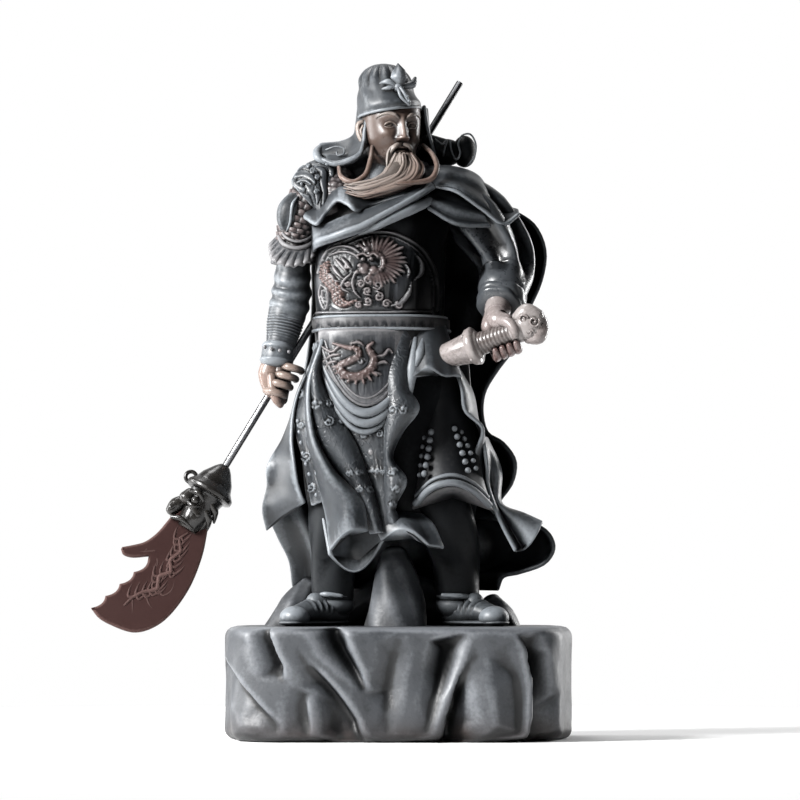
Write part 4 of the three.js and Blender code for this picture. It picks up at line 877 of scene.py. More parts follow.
def cup_line(left, right, top, bottom):
    t = np.linspace(0, 1, 17)
    dip = bump(t) ** 0.8
    return mix(left, right, t) - 0.4 * dip, mix(top, bottom, dip)


def swag(left, right, top, bottom, raised, radii, sides=14, **options):
    x, z = cup_line(left, right, top, bottom)
    return limb(on_belly(x, z, raised), radii, sides=sides, steps=48, **options)


apron_beast = Carving()
coil = spline([[-10.6, 49.4, 0], [-8.6, 48.7, 0], [-6.6, 48.2, 0], [-6.5, 47.1, 0], [-8, 46.2, 0],
               [-9.5, 45.3, 0], [-8.8, 44, 0], [-6.6, 43.5, 0], [-4.5, 44.7, 0], [-3.8, 46.6, 0],
               [-4.8, 48.6, 0], [-4, 49.5, 0]], np.linspace(0, 1, 45))[:, :2]
apron_beast.line(coil[::4], [0.16, 0.42, 0.55, 0.62, 0.68, 0.72, 0.78, 0.72, 0.5, 0.2], 0.5, 0.75)
for k, (x, z) in enumerate(coil[6:40]):
    for side in (-0.28, 0.28):
        apron_beast.dot(x + side, z + side * (-1) ** k, 0.2, 0.66, 0.75)
for k in range(8):
    angle = math.radians(190 + 19 * k)
    apron_beast.line([[-6.6 + r * math.cos(angle), 45.9 + 0.9 * r * math.sin(angle)]
                      for r in (3.1, 3.8, 4.3)], [0.26, 0.26, 0.06], 0.4, 0.7)
for line in ([[-9.6, 48.9], [-10.8, 47.9], [-12, 48.6], [-12.6, 49.2]],
             [[-9.7, 47.4], [-11, 47.2], [-12.2, 46.2]],
             [[-10.2, 46.2], [-11.2, 46], [-11.9, 45]], [[-9.9, 45.2], [-10.8, 44.4]],
             [[-3.3, 47.1], [-2.2, 47.3], [-1.4, 48.3], [-0.8, 47.6]],
             [[-3.2, 45.8], [-2.2, 46.1], [-1.4, 45.7]],
             [[-3.8, 44.2], [-2.7, 43.9]], [[-7.6, 49.3], [-6.4, 49.5], [-5.6, 48.9]]):
    apron_beast.line(line, [0.24, 0.3, 0.08], 0.4, 0.3)
apron_beast.curl(-6, 46.2, 0.7, thick=0.18, height=0.3)
u_share, v_share = np.meshgrid(np.linspace(0, 1, 101), np.linspace(0, 1, 67))
apron_bottom = mix(49.5, 38.9, bump(mix(0.04, 0.96, u_share)) ** 0.8)
apron = place(on_belly(mix(-13, 3.2, u_share), mix(51.4, apron_bottom, v_share), 0.3 * bump(u_share)))
figure_forms += [
    cloth(apron, thick=1.4 * unit, finish="armour", carving=apron_beast),
    swag(-13.2, 3.5, 50, 38.6, 0.75, 0.36, finish="armour"),
    swag(-12.4, 2.7, 50, 39.8, 0.95, 0.2, sides=8, finish="armour"),
    # The three swags below get light painted shade
    swag(-13.9, 4.2, 49.5, 37.2, 0.45, [0.35, 0.8, 0.9, 0.8, 0.35], rub=-0.2),
    swag(-14.3, 4.5, 49.5, 35.4, 0.15, [0.35, 0.75, 0.85, 0.75, 0.35], rub=-0.2),
    swag(-14.5, 4.4, 49, 33.9, -0.2, [0.3, 0.5, 0.55, 0.5, 0.3], rub=-0.2),
]


def belt_ring(z, bulge, radius, finish="armour"):
    """A bead round the front half of the trunk."""
    count = 60
    angle = np.linspace(-0.02, 1.02, count) * np.pi + np.pi
    middle_x, middle_y, half_width, half_depth = levels_at(trunk_levels, z)
    c, s, reach = rounded_square(angle, trunk_power)
    path = np.stack([middle_x + (half_width + bulge) * c * reach,
                     middle_y + (half_depth + bulge) * s * reach, np.full(count, z)], -1)
    return limb(path, radius, sides=8, steps=90, up=UP, finish=finish)


for ring_height in (50, 52.1, 54.3):
    figure_forms.append(belt_ring(ring_height, 0.05, 0.3, "robe"))

print("forms so far:", len(figure_forms))

# %% [markdown]
# ## Scarf and cape
# The scarf crosses the chest in flat pleats, spreads over the left shoulder and ends in a roll behind
# it. The cape is one large sheet from the shoulders to the hem, and its folds grow deeper on the way
# down.

# %% Scarf
def band_shape(u, v):
    """A flat band with a soft ridge along its lower third."""
    return 0, -0.9 * bump(u) ** 0.6 - 0.5 * hill(u, 0.78, 0.1) - 0.3, 0


def ruffle(u, v):
    """The hem swings out and back, so that it overhangs the band in loops."""
    return 0, -(0.5 + 1.5 * np.sin(4.2 * np.pi * v + 0.6)) * u, 0


figure_forms += [
    panel([[-14.6, -2, 71.6], [-14, -6, 70], [-8.6, -9.6, 71.8], [-4.4, -10.4, 73], [1, -9.8, 75.4],
           [5.4, -7, 78.2]],
          [[-14.6, -3, 65.6], [-13.6, -8, 66.8], [-9.8, -11, 67.9], [-6.2, -11.8, 69.1],
           [-1.8, -11.6, 71.6], [2.6, -10.4, 74.2], [6.6, -8, 77]], shape=band_shape, across=26, down=44),
    # The narrow roll below it
    limb([[-6.4, -11.4, 68.6], [-3.4, -12, 70], [-0.4, -11.6, 71.6], [2.6, -10.8, 73], [6, -8.6, 74.6]],
         [0.3, 0.75, 0.95, 1, 0.8], sides=16, steps=36),
    # The ruffled edge that overhangs the band
    panel([[-15.2, 0, 74.6], [-13.6, -2.8, 75.4], [-11.4, -4.6, 76.8], [-8.6, -6, 77.2], [-5, -7, 76.8],
           [-1, -7.4, 77.2], [3.2, -6.6, 78.6]],
          [[-16.2, -4.2, 72], [-13.8, -7.6, 70.6], [-12.3, -8.6, 72.6], [-10.4, -9.6, 74.6],
           [-8.6, -10, 73.9], [-6.8, -10.6, 72.7], [-4.8, -10.8, 73.6], [-1.6, -10.6, 74.6],
           [3.4, -8.6, 75.6]], shape=ruffle, across=22, down=60),
    # The shoulder layers: the lower one gets painted shade, the upper one a little
    panel([[4.6, -3, 81], [9.6, -2, 81.2], [14.4, 0, 79.8], [17.6, 1.6, 75.4], [21.4, 2.4, 73.6]],
          [[6, -8.2, 77.4], [10.4, -9, 76.4], [15, -7.6, 73.4], [19, -6, 70.8], [21.6, -4, 72.6]],
          shape=lambda u, v: (0, -1.3 * bump(u) - 0.3 * np.cos(5 * np.pi * u + 2 * v) * bump(v),
                              0.35 * np.sin(2 * np.pi * u)), across=40, down=44, rub=-0.1),
    panel([[5, -5.4, 77.8], [9.4, -5.6, 76.6], [14, -4.8, 74]],
          [[5.8, -9.4, 73.2], [10.6, -9.2, 70.6], [16.4, -7, 70.4]],
          shape=lambda u, v: (0, -0.9 * bump(u) - 0.25 * np.sin(4 * np.pi * u), 0),
          across=24, down=26, rub=-0.5),
    # The rolled end lies behind the neck, darkened with painted shade, with its waved rims; below it the
    # raised collar
    ball([12.2, 2.6, 84.5], 2.6, (0.82, 1.1, 1.1), sides=32, rows=20, rub=-0.95),
    ball([9, 2.4, 84.3], 2.7, (1.1, 1.1, 0.9), sides=32, rows=20, rub=-0.95),
    limb([[5.6, 2, 85.4], [8.4, 2.2, 84.4]], [2.2, 2.4], sides=24, rub=-0.9),
    limb([[7, -0.9, 86.3], [8.3, -0.9, 85.5], [9, -0.9, 86.1], [8.7, -0.9, 84.8], [8.4, -0.8, 83.4]], 0.16,
         sides=8, steps=40),
    limb([[9.6, -0.7, 86.2], [9.9, -0.9, 84.2], [10.7, -0.9, 82.7], [11.4, -0.8, 83.8], [11.1, -0.7, 85.6],
          [11.8, -0.5, 87.1], [13.2, -0.3, 87.3], [14.2, -0.2, 85.6], [13.9, -0.2, 83.2],
          [12.8, -0.2, 81.7]],
         0.17, sides=8, steps=90),
    loft([[77.5, 0, 0.6, 7.6, 6.6], [80, 0.2, 0.8, 6.6, 6], [82.4, 0.3, 1, 5, 4.8]], sides=48, rows=16,
         wave=lambda a, t: 0.04 * np.cos(9 * a)),
]


# %% Cape
def cape_folds(u, v):
    # Low down, a broad flange at the left edge faces the front
    flange = 0.13 * soft_step(v, 0.55, 0.8)
    round_back = bump((u - flange) / (1 - flange)) ** 0.55
    folds = (0.2 + 1.2 * v) * np.cos(7 * np.pi * u) * bump(u)
    small = 0.35 * soft_step(v, 0.1, 0.5) * np.cos(17 * np.pi * u + 3 * v) * bump(u)
    return (0, (5.2 + 3.4 * np.minimum(1, 4 * v) + 3.4 * v) * round_back + folds + small, 0)


# Painted shade over the cape, deeper towards its right edge and lifted on the flange that faces the front
def cape_rub(u, v):
    flange = 0.15 * soft_step(v, 0.6, 0.8) * soft_step(-u, -0.25, -0.08)
    return -0.15 - 0.6 * soft_step(u, 0.1, 0.6) + flange


figure_forms.append(panel(
    [[-6.2, 4.4, 81], [-10, 4.2, 78.6], [-13.6, 4.4, 73], [-14.8, 5, 66], [-14.8, 5.4, 58],
     [-15.4, 5.4, 50], [-16.8, 5.2, 42], [-18.6, 5, 34], [-21.6, 4, 28], [-20.8, 4.4, 24], [-22.4, 2.4, 20],
     [-20.8, 2.6, 15.6], [-18.8, 3.4, 11.4], [-18.2, 4.6, 7]],
    [[7, 4.4, 81], [14.2, 4, 79.2], [18.5, 3, 74.8], [21.5, 2, 73.4], [24.7, 1.2, 71], [26.5, 1, 66.6],
     [25.8, 1.3, 61.3], [23.3, 1.8, 55.6], [21.1, 2.4, 49.7], [17.9, 3, 45.3], [15.8, 3.6, 41.7],
     [15.3, 4, 38.2], [16.2, 3.4, 34.3], [19, 1.2, 32.3], [21.1, -0.6, 29], [20.6, 0.4, 25.4],
     [17.9, 2.4, 21.3], [17.8, 2.6, 19.3], [20.6, 1, 18.7], [23.8, -0.6, 18.2], [27, -1.8, 16.2],
     [27.9, -2, 13.7], [26.5, -1, 11.2], [22, 1.4, 9.4], [19, 3.4, 8.6], [18.1, 5, 6.4]],
    shape=cape_folds, across=84, down=96, rub=cape_rub))

# %% [markdown]
# ## The right arm
# Layers of armour lie over the shoulder: a beast's head, a sleeve of scales, a doubled rim and a fringe
# of pleats. Below it are the puffed elbow, a ribbed bracer, a riveted cuff and the bare fist round the
# shaft.

# %% The right arm
grip = np.array([-21.3, -1.5, 42.8])


def mail_wave(rows, around, depth):
    def wave(angle, t):
        row = rows * t
        shift = np.pi * np.floor(row)
        within = row - np.floor(row)
        tile = np.abs(np.cos(0.5 * (around * angle + shift)))
        return depth * (1 - within) ** 0.7 * (0.1 + 0.9 * tile ** 0.6)
    return wave


shoulder_beast = Carving()
for line, radii, height in (
        # Brow, eyelid, snout, jaws, the rolled rim and the mane
        ([[-17.6, 79.2], [-16.4, 79.7], [-15.2, 79.2], [-14.4, 78]], [0.3, 0.55, 0.5, 0.2], 0.75),
        ([[-17.2, 78.2], [-16, 78.5], [-15, 77.7]], [0.15, 0.3, 0.12], 0.6),
        ([[-17.9, 78.4], [-17.3, 77.4], [-16.2, 76.9]], [0.3, 0.5, 0.3], 0.7),
        ([[-16.6, 76.4], [-15.6, 75.6], [-14.6, 74.4]], [0.2, 0.4, 0.15], 0.6),
        ([[-15.2, 81.6], [-13.4, 81.9], [-11.6, 81.4], [-11.4, 79.6]], [0.2, 0.45, 0.45, 0.3], 0.5),
        ([[-14.2, 80.8], [-12.9, 80.1], [-12.9, 78.4], [-12.6, 76.4], [-12.9, 74.2]],
         [0.2, 0.4, 0.42, 0.36, 0.2], 0.6),
        ([[-14.2, 77.2], [-13.8, 75.8], [-13.7, 74.4]], [0.15, 0.3, 0.1], 0.5),
        ([[-15.4, 80.8], [-16.6, 80.9], [-17.4, 80.2]], [0.15, 0.35, 0.15], 0.5)):
    shoulder_beast.line(line, [1.35 * r for r in radii], 0.45 * height, 0.0)
shoulder_beast.dot(-16.4, 77.8, 0.3, 0.7)
for x, z, size in ((-14.6, 80, 0.55), (-13.9, 78.9, 0.45), (-15.4, 81, 0.4), (-14, 76.4, 0.4)):
    shoulder_beast.curl(x, z, size, thick=0.2, height=0.45)
figure_forms += [
    # The shoulder under the plate, darkened with painted shade
    limb([[-2.5, 1.5, 82.4], [-7, 1.5, 80.6], [-12, 0.8, 79]], [3.4, 3.2, 2.8], sides=24, rub=-0.4),
    limb([[-9.6, -1.5, 79.2], [-10.4, -3, 76.8], [-11.2, -3.6, 73.6]], [2.2, 2.6, 2.4], sides=60, steps=44,
         wave=mail_wave(9, 13, 0.12), finish="armour", rub=0.4),
    limb([[-11.6, 0, 78.6], [-14.6, 0, 76.4], [-16.9, 0, 71], [-17.8, 0, 66.4]], [3.2, 3.8, 3.9, 3.5],
         sides=132, steps=120, wave=mail_wave(15, 15, 0.12), finish="armour", rub=0.5),
    # The smooth top of the shoulder plate
    limb([[-8.8, -1.6, 80.2], [-11.6, -2.4, 81], [-14.6, -2, 80.6], [-16.4, -1.6, 79.2]],
         [0.9, 1.5, 1.4, 0.8], sides=28, steps=30, squash=0.8),
    # The shoulder plate: a beast's head seen from its side, over a rounded cap
    limb([[-9.2, 0.2, 79.4], [-12.4, -0.4, 79.8], [-15.2, -0.4, 78], [-16.4, -0.2, 75.6]],
         [1.8, 2.8, 2.8, 2], sides=32, steps=30),
    panel([[-15.2, -1, 82], [-17.2, -2.4, 80.4], [-18.2, -3.4, 78.4], [-17, -4.4, 76.8],
           [-14.8, -5, 74.6], [-13.6, -5.2, 73]],
          [[-11.6, -1.2, 82.4], [-10.6, -3, 80.8], [-11.6, -4, 79], [-11.9, -4.6, 77.2],
           [-12, -5, 75.2], [-12.8, -5.2, 72.8]], shape=mound(0.9), across=60, down=80,
          carving=shoulder_beast),
    # The curled flap at the outer side of the sleeve, with a band of painted shade
    panel([[-17.2, -3, 76], [-17.9, -3.6, 74], [-18.4, -3.6, 71.6], [-19.2, -2.8, 69.8]],
          [[-19, 0.6, 76.4], [-20.6, -0.2, 74.2], [-20.8, -0.4, 72], [-20.2, -0.8, 70]],
          shape=lambda u, v: (-0.9 * bump(u) * bump(v) ** 0.5, -0.9 * bump(u), 0.3 * bump(u)), across=20,
          down=26, rub=lambda u, v: -0.7 * hill(u, 0.3, 0.22)),
    limb([[-17.2, -3.4, 76], [-18.2, -4.3, 74.6], [-18.5, -4.3, 72.8], [-18.7, -4, 71.2],
          [-19.3, -3.2, 69.8]], [0.2, 0.34, 0.3, 0.3, 0.2], sides=10, steps=30),
    # The fringe of pleats fans out below a beaded band
    loft([[69.4, -17.5, 0.3, 3.2, 3.3], [67.6, -17.9, 0.3, 3.5, 3.7], [65.4, -18.2, 0.5, 3.8, 3.7],
          [64.4, -18.3, 0.6, 3.9, 3.9], [64.1, -18.3, 0.6, 3.2, 3.2]], sides=120, rows=20, power=2,
         wave=lambda a, t: 0.1 * t * np.abs(np.cos(8 * a)) - 0.04, finish="armour"),
    panel([[-20.6, 1.8, 69.6], [-20.7, -1, 68.4], [-19.7, -4.1, 66.7], [-17.6, -4.8, 66],
           [-15.2, -4.2, 66.7], [-13.9, -2.2, 68.6]],
          [[-22.4, 2, 67.6], [-22.3, -1.4, 66.4], [-21.5, -5, 64.3], [-18.6, -6.2, 63.3],
           [-15.4, -5.4, 64.1], [-13.5, -2.6, 67]],
          shape=lambda u, v: (0, -0.5 * u * np.abs(np.sin(11 * np.pi * v)), 0.3 * u
                              * np.abs(np.sin(11 * np.pi * v))), across=14, down=110, finish="armour"),
    limb([[-20.6, 1.8, 70.2], [-20.7, -1.2, 69], [-19.7, -4.3, 67.3], [-17.6, -5, 66.6],
          [-15.2, -4.4, 67.3], [-13.9, -2.4, 69.2]], 0.42, sides=10, steps=70, finish="armour"),
    limb([[-20.3, 1.6, 71.2], [-20.3, -1.4, 70.1], [-19.3, -4.2, 68.5], [-17.5, -4.8, 67.8],
          [-15.4, -4.3, 68.4], [-14, -2.4, 70.2]], 0.26, sides=8, steps=60, finish="armour"),
    # The puffed elbow
    limb([[-18.2, 0.4, 65], [-18.4, 0.3, 62], [-18.6, 0.2, 59], [-19, -0.2, 56.4], [-19.5, -0.6, 54]],
         [3, 3.2, 3.5, 3.5, 3.1], sides=48, steps=60,
         wave=lambda a, t: 0.055 * np.cos(2 * np.pi * (4.2 * t + 0.5 * np.sin(a))) * bump(t)),
    # The bracer: even ribs inside an oval at its front
    limb([[-19.3, -0.4, 56], [-20, -1, 52], [-20.8, -1.6, 48.4]], [3.3, 3.2, 2.8, 2.3],
         sides=56, steps=90, squash=0.95,
         wave=lambda a, t: 0.04 * np.cos(2 * np.pi * 15 * t) * hill(t, 0.42, 0.25)),
    limb([[-20.9, -1.7, 49.4], [-21.2, -2, 46.6]], [2.75, 2.85], sides=36, steps=16, blunt=0.4,
         wave=lambda a, t: 0.07 * (hill(t, 0.05, 0.07) + hill(t, 0.92, 0.07))),
    # The back of the hand and its heel
    limb([[-21.2, -1.6, 47.4], [-22.4, -1.8, 44.6], [-21.9, -2.2, 41.4]], [1.8, 2.05, 1.5],
         sides=24, finish="skin", rub=0.7, squash=0.85),
    limb([[-20.2, -1.8, 46], [-20.6, -1.4, 42.8], [-20.4, -1.4, 39.9]], [1.6, 2.1, 1.2],
         sides=20, finish="skin", rub=0.7),
    # The thumb along the shaft
    limb([[-22, -3, 44], [-21.7, -3.6, 41.8], [-21, -3.6, 39.8], [-20.4, -3.2, 38.9]],
         [0.9, 0.95, 0.85, 0.6], sides=14, finish="skin", rub=0.7),
]
# Four fingers curl over the shaft, one below another
for k in range(4):
    z = grip[2] + 2.6 - 1.45 * k
    x = grip[0] + 1.2 - 0.12 * k + (z - grip[2]) * 0.6
    figure_forms.append(limb([[x - 1.5, grip[1] - 1.2, z + 0.5], [x - 0.5, grip[1] - 2.6, z + 0.25],
                              [x + 0.9, grip[1] - 2.7, z - 0.1], [x + 1.8, grip[1] - 1.5, z - 0.4],
                              [x + 1.7, grip[1] - 0.3, z - 0.6]],
                             [0.66, 0.74, 0.68, 0.62, 0.5], sides=14, finish="skin", rub=0.35))

# %% [markdown]
# ## The left arm and the sword
# The left arm is in a wide sleeve with a rolled cuff. The hand rests on the sword's grip, which is
# bound with cord in a herringbone, and the ends of its fingers come round under the grip.

# %% The left arm
def sleeve_folds(angle, t):
    return 0.15 * bump(t) * np.cos(6 * angle + 2.5 * t) + 0.03 * bump(t) * np.cos(13 * angle - 5 * t)


throat = np.array([12.4, -10.4, 48.5])
pommel = np.array([24.4, -14.4, 52.7])


def on_sword(t, lift=0.0, front=0.0):
    middle = mix(throat, pommel, t)
    return [middle[0] - 0.4 * lift, middle[1] - front, middle[2] + lift]


figure_forms += [
    limb([[10.6, 0, 76], [15, -1, 72], [18.8, -1, 66.6], [19.6, -2, 62.4], [18.8, -5, 59]],
         [5, 5.4, 4.8, 4.6, 4.4], sides=72, steps=60, wave=sleeve_folds, finish="sleeve"),
    limb([[19.5, -3, 59.8], [18.7, -5.8, 57.4]], [3.2, 4.5], sides=48, steps=16, up=UP,
         wave=lambda a, t: 0.03 * np.cos(7 * a), finish="sleeve"),
    limb([[19.2, -4.4, 58.8], [18.4, -6.9, 56.9]], [4, 4.3], sides=48, steps=12, up=UP,
         blunt=0.25, wave=lambda a, t: 0.04 * np.cos(5 * a + 1), finish="sleeve"),
    limb([[18.8, -5.6, 57.8], [18.1, -7.8, 56.2]], [3.5, 4], sides=48, steps=12, up=UP,
         blunt=0.2, wave=lambda a, t: 0.03 * np.cos(6 * a), finish="sleeve"),
    limb([[18.4, -6.6, 57.4], [17.8, -9.2, 55]], [2.5, 2.3], sides=24, up=UP, finish="hilt",
         rub=0.25),
    # The back of the hand, and the thumb over the grip
    limb([[17.9, -8.8, 55.6], on_sword(0.55, 2.6, -0.4), on_sword(0.66, 2, 0.4)], [2.1, 2, 1.2],
         sides=22, finish="hilt", rub=0.35, squash=0.9),
    limb([[17.2, -8.4, 54.6], on_sword(0.4, 2, -0.6), on_sword(0.36, 0.2, -1.6)], [1.7, 1.5, 1],
         sides=18, finish="hilt", rub=0.5),
    limb([on_sword(0.56, 2.5, 0.6), on_sword(0.66, 1.5, 1.7), on_sword(0.69, 0.1, 2.3),
          on_sword(0.67, -0.9, 2.2)], [1, 0.95, 0.85, 0.55], sides=16, finish="hilt", rub=0.25),
]
# The ends of four fingers come round under the grip
for k in range(4):
    t = 0.34 + 0.1 * k
    finger = [on_sword(t, -1.3, -2.2), on_sword(t, -2.9, -0.6), on_sword(t + 0.01, -2.7, 1.0),
              on_sword(t + 0.01, -1.9, 1.9)]
    figure_forms.append(limb(finger, [0.8, 0.84, 0.76, 0.55], sides=16, finish="hilt", rub=0.95))

# %% The sword
def herringbone(angle, t):
    return 0.06 * np.abs(np.sin(2 * np.pi * 5.5 * t + 2.2 * np.abs(np.sin(angle)))) - 0.02


figure_forms += [
    # The sword's end running back from the throat, darkened with painted shade
    limb([[3, -3, 43.5], [9.4, -8.6, 47.2]], [1.6, 2], sides=20, rub=-0.9),
    limb([[8.8, -8.9, 47.4], on_sword(-0.05), on_sword(0.08)], [2.1, 2.6, 2.9], sides=32, steps=24,
         finish="hilt", rub=0.15, blunt=0.5),
    limb([on_sword(0.06), on_sword(0.13)], [3.25, 3.45], sides=40, steps=8, blunt=0.25,
         finish="hilt", rub=0.1),
    limb([on_sword(0.14), on_sword(0.17)], [2.7, 2.6], sides=36, steps=6, blunt=0.3, finish="hilt"),
    limb([on_sword(0.12), on_sword(0.7)], [2, 2], sides=48, steps=90, finish="hilt", rub=0.1,
         wave=herringbone),
    limb([on_sword(0.7), on_sword(0.78)], [2.2, 2.3], sides=32, steps=8, finish="hilt"),
    ball(on_sword(0.93), 2.9, (1.05, 0.7, 1), finish="hilt", sides=32, rows=20),
    limb([on_sword(0.8, 1.7, 0.2), on_sword(0.94, 2.1, 0.2), on_sword(1.06, 1, 0.2)],
         [1.3, 1.7, 1.3], sides=22, finish="hilt"),
    limb([on_sword(0.84, -1.7, 0.2), on_sword(0.96, -1.9, 0.2), on_sword(1.06, -0.9, 0.2)],
         [1.2, 1.6, 1.2], sides=22, finish="hilt", rub=0.3),
]
for t, lift, size, hand in ((0.86, 1.3, 0.8, 1), (0.98, 0.4, 1, -1), (0.87, -1.1, 0.7, 1)):
    winding = np.linspace(0, 1, 14)
    turn = hand * 2 * np.pi * 1.2 * winding
    reach = size * (1 - 0.8 * winding)
    figure_forms.append(limb(np.array([on_sword(t + r * math.cos(a) / 13, lift + r * math.sin(a),
                                                2.05 - 0.1 * abs(lift)) for a, r in zip(turn, reach)]),
                             0.2, sides=8, steps=28, finish="hilt", rub=0.2))
print("forms so far:", len(figure_forms))

# %% [markdown]
# ## Head, beard and hat
# The face is a calm one of this script's own, set out by rule: the eyes at half the head's height, an
# eye's width between them, the nose ending halfway from there to the chin. It is one skin whose front
# is moved forward or back by smooth hills. The beard is laid in strands between two edges, as a carver
# would cut it.

# %% The head
head_turn = math.radians(22)
head_middle = np.array([-0.85, -2, 87.3])
head_power = 2.15


def on_head(x, y, z):
    x, y, z = np.broadcast_arrays(*(np.asarray(part, float) for part in (x, y, z)))
    c, s = math.cos(head_turn), math.sin(head_turn)
    return np.stack([head_middle[0] + x * c - y * s, head_middle[1] + x * s + y * c,
                     head_middle[2] + z], -1)


def face_depth(x, z):
    """How far the face stands forward of the plain skull, in hundredths of the figure's height."""
    side = np.abs(x)
    brow = 0.42 * hill(z, 2.5, 0.65) * hill(side, 1.9, 1.7)
    socket = -0.62 * hill(z, 1, 0.8) * hill(side, 2, 1.05)
    ridge = np.clip(0.35 + (2.3 - z) * 0.36, 0, 1.75) * soft_step(z, -2, -1.3)
    nose = ridge * np.exp(-(side / (0.52 + 0.09 * (2.3 - z).clip(0, 4))) ** 2.4) * (z < 3)
    wings = 0.62 * hill(z, -1.45, 0.42) * hill(side, 0.82, 0.36)
    cheek = 0.42 * hill(z, -0.5, 1.2) * hill(side, 3, 1.1)
    hollow = -0.35 * hill(z, -3, 1.2) * hill(side, 3.1, 0.9)
    lips = (0.42 * hill(z, -2.95, 0.26) * hill(side, 0, 1.25)
            + 0.5 * hill(z, -3.75, 0.32) * hill(side, 0, 1.0))
    mouth = -0.34 * hill(z, -3.32, 0.14) * hill(side, 0, 1.4)
    chin = 0.55 * hill(z, -5.2, 0.7) * hill(side, 0, 1.3)
    return brow + socket + nose + wings + cheek + hollow + lips + mouth + chin


head_levels = np.array([[-6.4, 1.6, 2.8, 1.6], [-5.6, 2.9, 4.2, 2.8], [-4.4, 3.9, 4.9, 4],
                        [-1.4, 4.8, 5.3, 5.6], [2, 5.05, 5.4, 6.4], [5, 5, 5.1, 6.6]])
z_rows = np.linspace(-6.4, 5, 96)
half_width, front, back = (np.interp(z_rows, head_levels[:, 0], head_levels[:, c]) for c in (1, 2, 3))
for _ in range(6):
    half_width[1:-1], front[1:-1], back[1:-1] = (
        0.25 * line[:-2] + 0.5 * line[1:-1] + 0.25 * line[2:] for line in (half_width, front, back))
c, s, reach = rounded_square(full_turn(116), head_power)
face_x = half_width[:, None] * (c * reach)[None, :]
depth = np.where(s < 0, front[:, None], back[:, None]) * (s * reach)[None, :]
forward = soft_step(-s, 0.1, 0.5)[None, :]
face_y = depth - forward * face_depth(face_x, z_rows[:, None])
face_z = np.broadcast_to(z_rows[:, None], face_x.shape)
blush = 0.25 + 0.35 * hill(face_z, -1.4, 0.9) * hill(face_x, 0, 1.1)
figure_forms.append(skin(place(on_head(face_x, face_y, face_z)), "skin", blush))


def on_face(x, z, lift=0.0):
    """The point of the face at a place seen from its front, in its own frame."""
    width = np.interp(z, z_rows, half_width)
    share = np.minimum(np.abs(np.asarray(x, float)) / width, 0.97)
    depth = np.interp(z, z_rows, front) * (1 - share ** head_power) ** (1 / head_power)
    return -(depth + face_depth(np.asarray(x, float), np.asarray(z, float)) + lift)


def head_line(points, radii, finish="skin", sides=10, **options):
    points = np.asarray(points, float)
    return limb(on_head(points[:, 0], points[:, 1], points[:, 2]), radii, finish=finish, sides=sides,
                **options)


for side in (-1, 1):
    figure_forms += [
        ball(on_head(side * 2, -3.85, 1.0), 0.92, (1.05, 0.85, 0.82), finish="skin", sides=24, rows=16),
        head_line([[side * 0.95, on_face(0.95, 0.85, 0.06), 0.8], [side * 1.5, -4.86, 1.36],
                   [side * 2.15, -4.78, 1.48], [side * 2.75, -4.5, 1.2], [side * 3.15, -4.12, 0.75]],
                  [0.14, 0.2, 0.22, 0.2, 0.1], steps=20),
        head_line([[side * 1, -4.8, 0.72], [side * 1.7, -4.78, 0.52], [side * 2.4, -4.62, 0.5],
                   [side * 3.05, -4.2, 0.72]], [0.1, 0.15, 0.15, 0.1], steps=18),
        head_line([[side * x, on_face(x, z, -0.02), z] for x, z in
                   ((0.75, 2.15), (1.5, 2.75), (2.6, 3.0), (3.6, 2.7), (4.2, 2.1))],
                  [0.2, 0.34, 0.36, 0.28, 0.1], finish="beard", steps=24,
                  wave=lambda a, t: 0.1 * np.cos(5 * a + 30 * t)),
        # The ear and its inner curl
        head_line([[side * 5.1, 0.6, 1.9], [side * 5.75, 1.1, 1.5], [side * 5.8, 0.9, -0.2],
                   [side * 5.4, 0.3, -1.6], [side * 5, 0, -2.5]], [0.4, 0.5, 0.5, 0.5, 0.55],
                  steps=22),
        head_line([[side * 5.3, 0.1, 1.1], [side * 5.6, 0.3, 0.2], [side * 5.3, -0.1, -1]], 0.32),
        # The moustache, in three strands a side
        *[head_line([[side * 0.25, on_face(0.25, -2.45, 0.1), -2.35 - 0.1 * k],
                     [side * (1.1 + 0.15 * k), on_face(1.2, -2.8, 0.25), -2.55 - 0.22 * k],
                     [side * (2.2 - 0.1 * k), on_face(2.2, -3.6, 0.4), -3.6 - 0.3 * k],
                     [side * (2.75 - 0.3 * k), -5, -5.6 - 0.3 * k],
                     [side * (2.9 - 0.5 * k), -5.4, -7.2]],
                    [0.22, 0.34, 0.36, 0.3, 0.1], finish="beard", steps=26) for k in range(3)],
    ]

# %% The beard
beard_upper = [on_head(-1.5, -5.3, -4.4), [-1.4, -7.6, 80.8], [-2.6, -9, 79], [-5, -9.6, 78],
               [-7.6, -9.6, 77.8], [-9.5, -9, 77.9]]
beard_lower = [on_head(2.4, -4.9, -4.3), [4.8, -7.6, 80.6], [3.9, -9.6, 78.2], [1, -10.8, 76.9],
               [-2.4, -11.2, 75.8], [-5.8, -10.6, 75], [-8.8, -9.4, 76]]
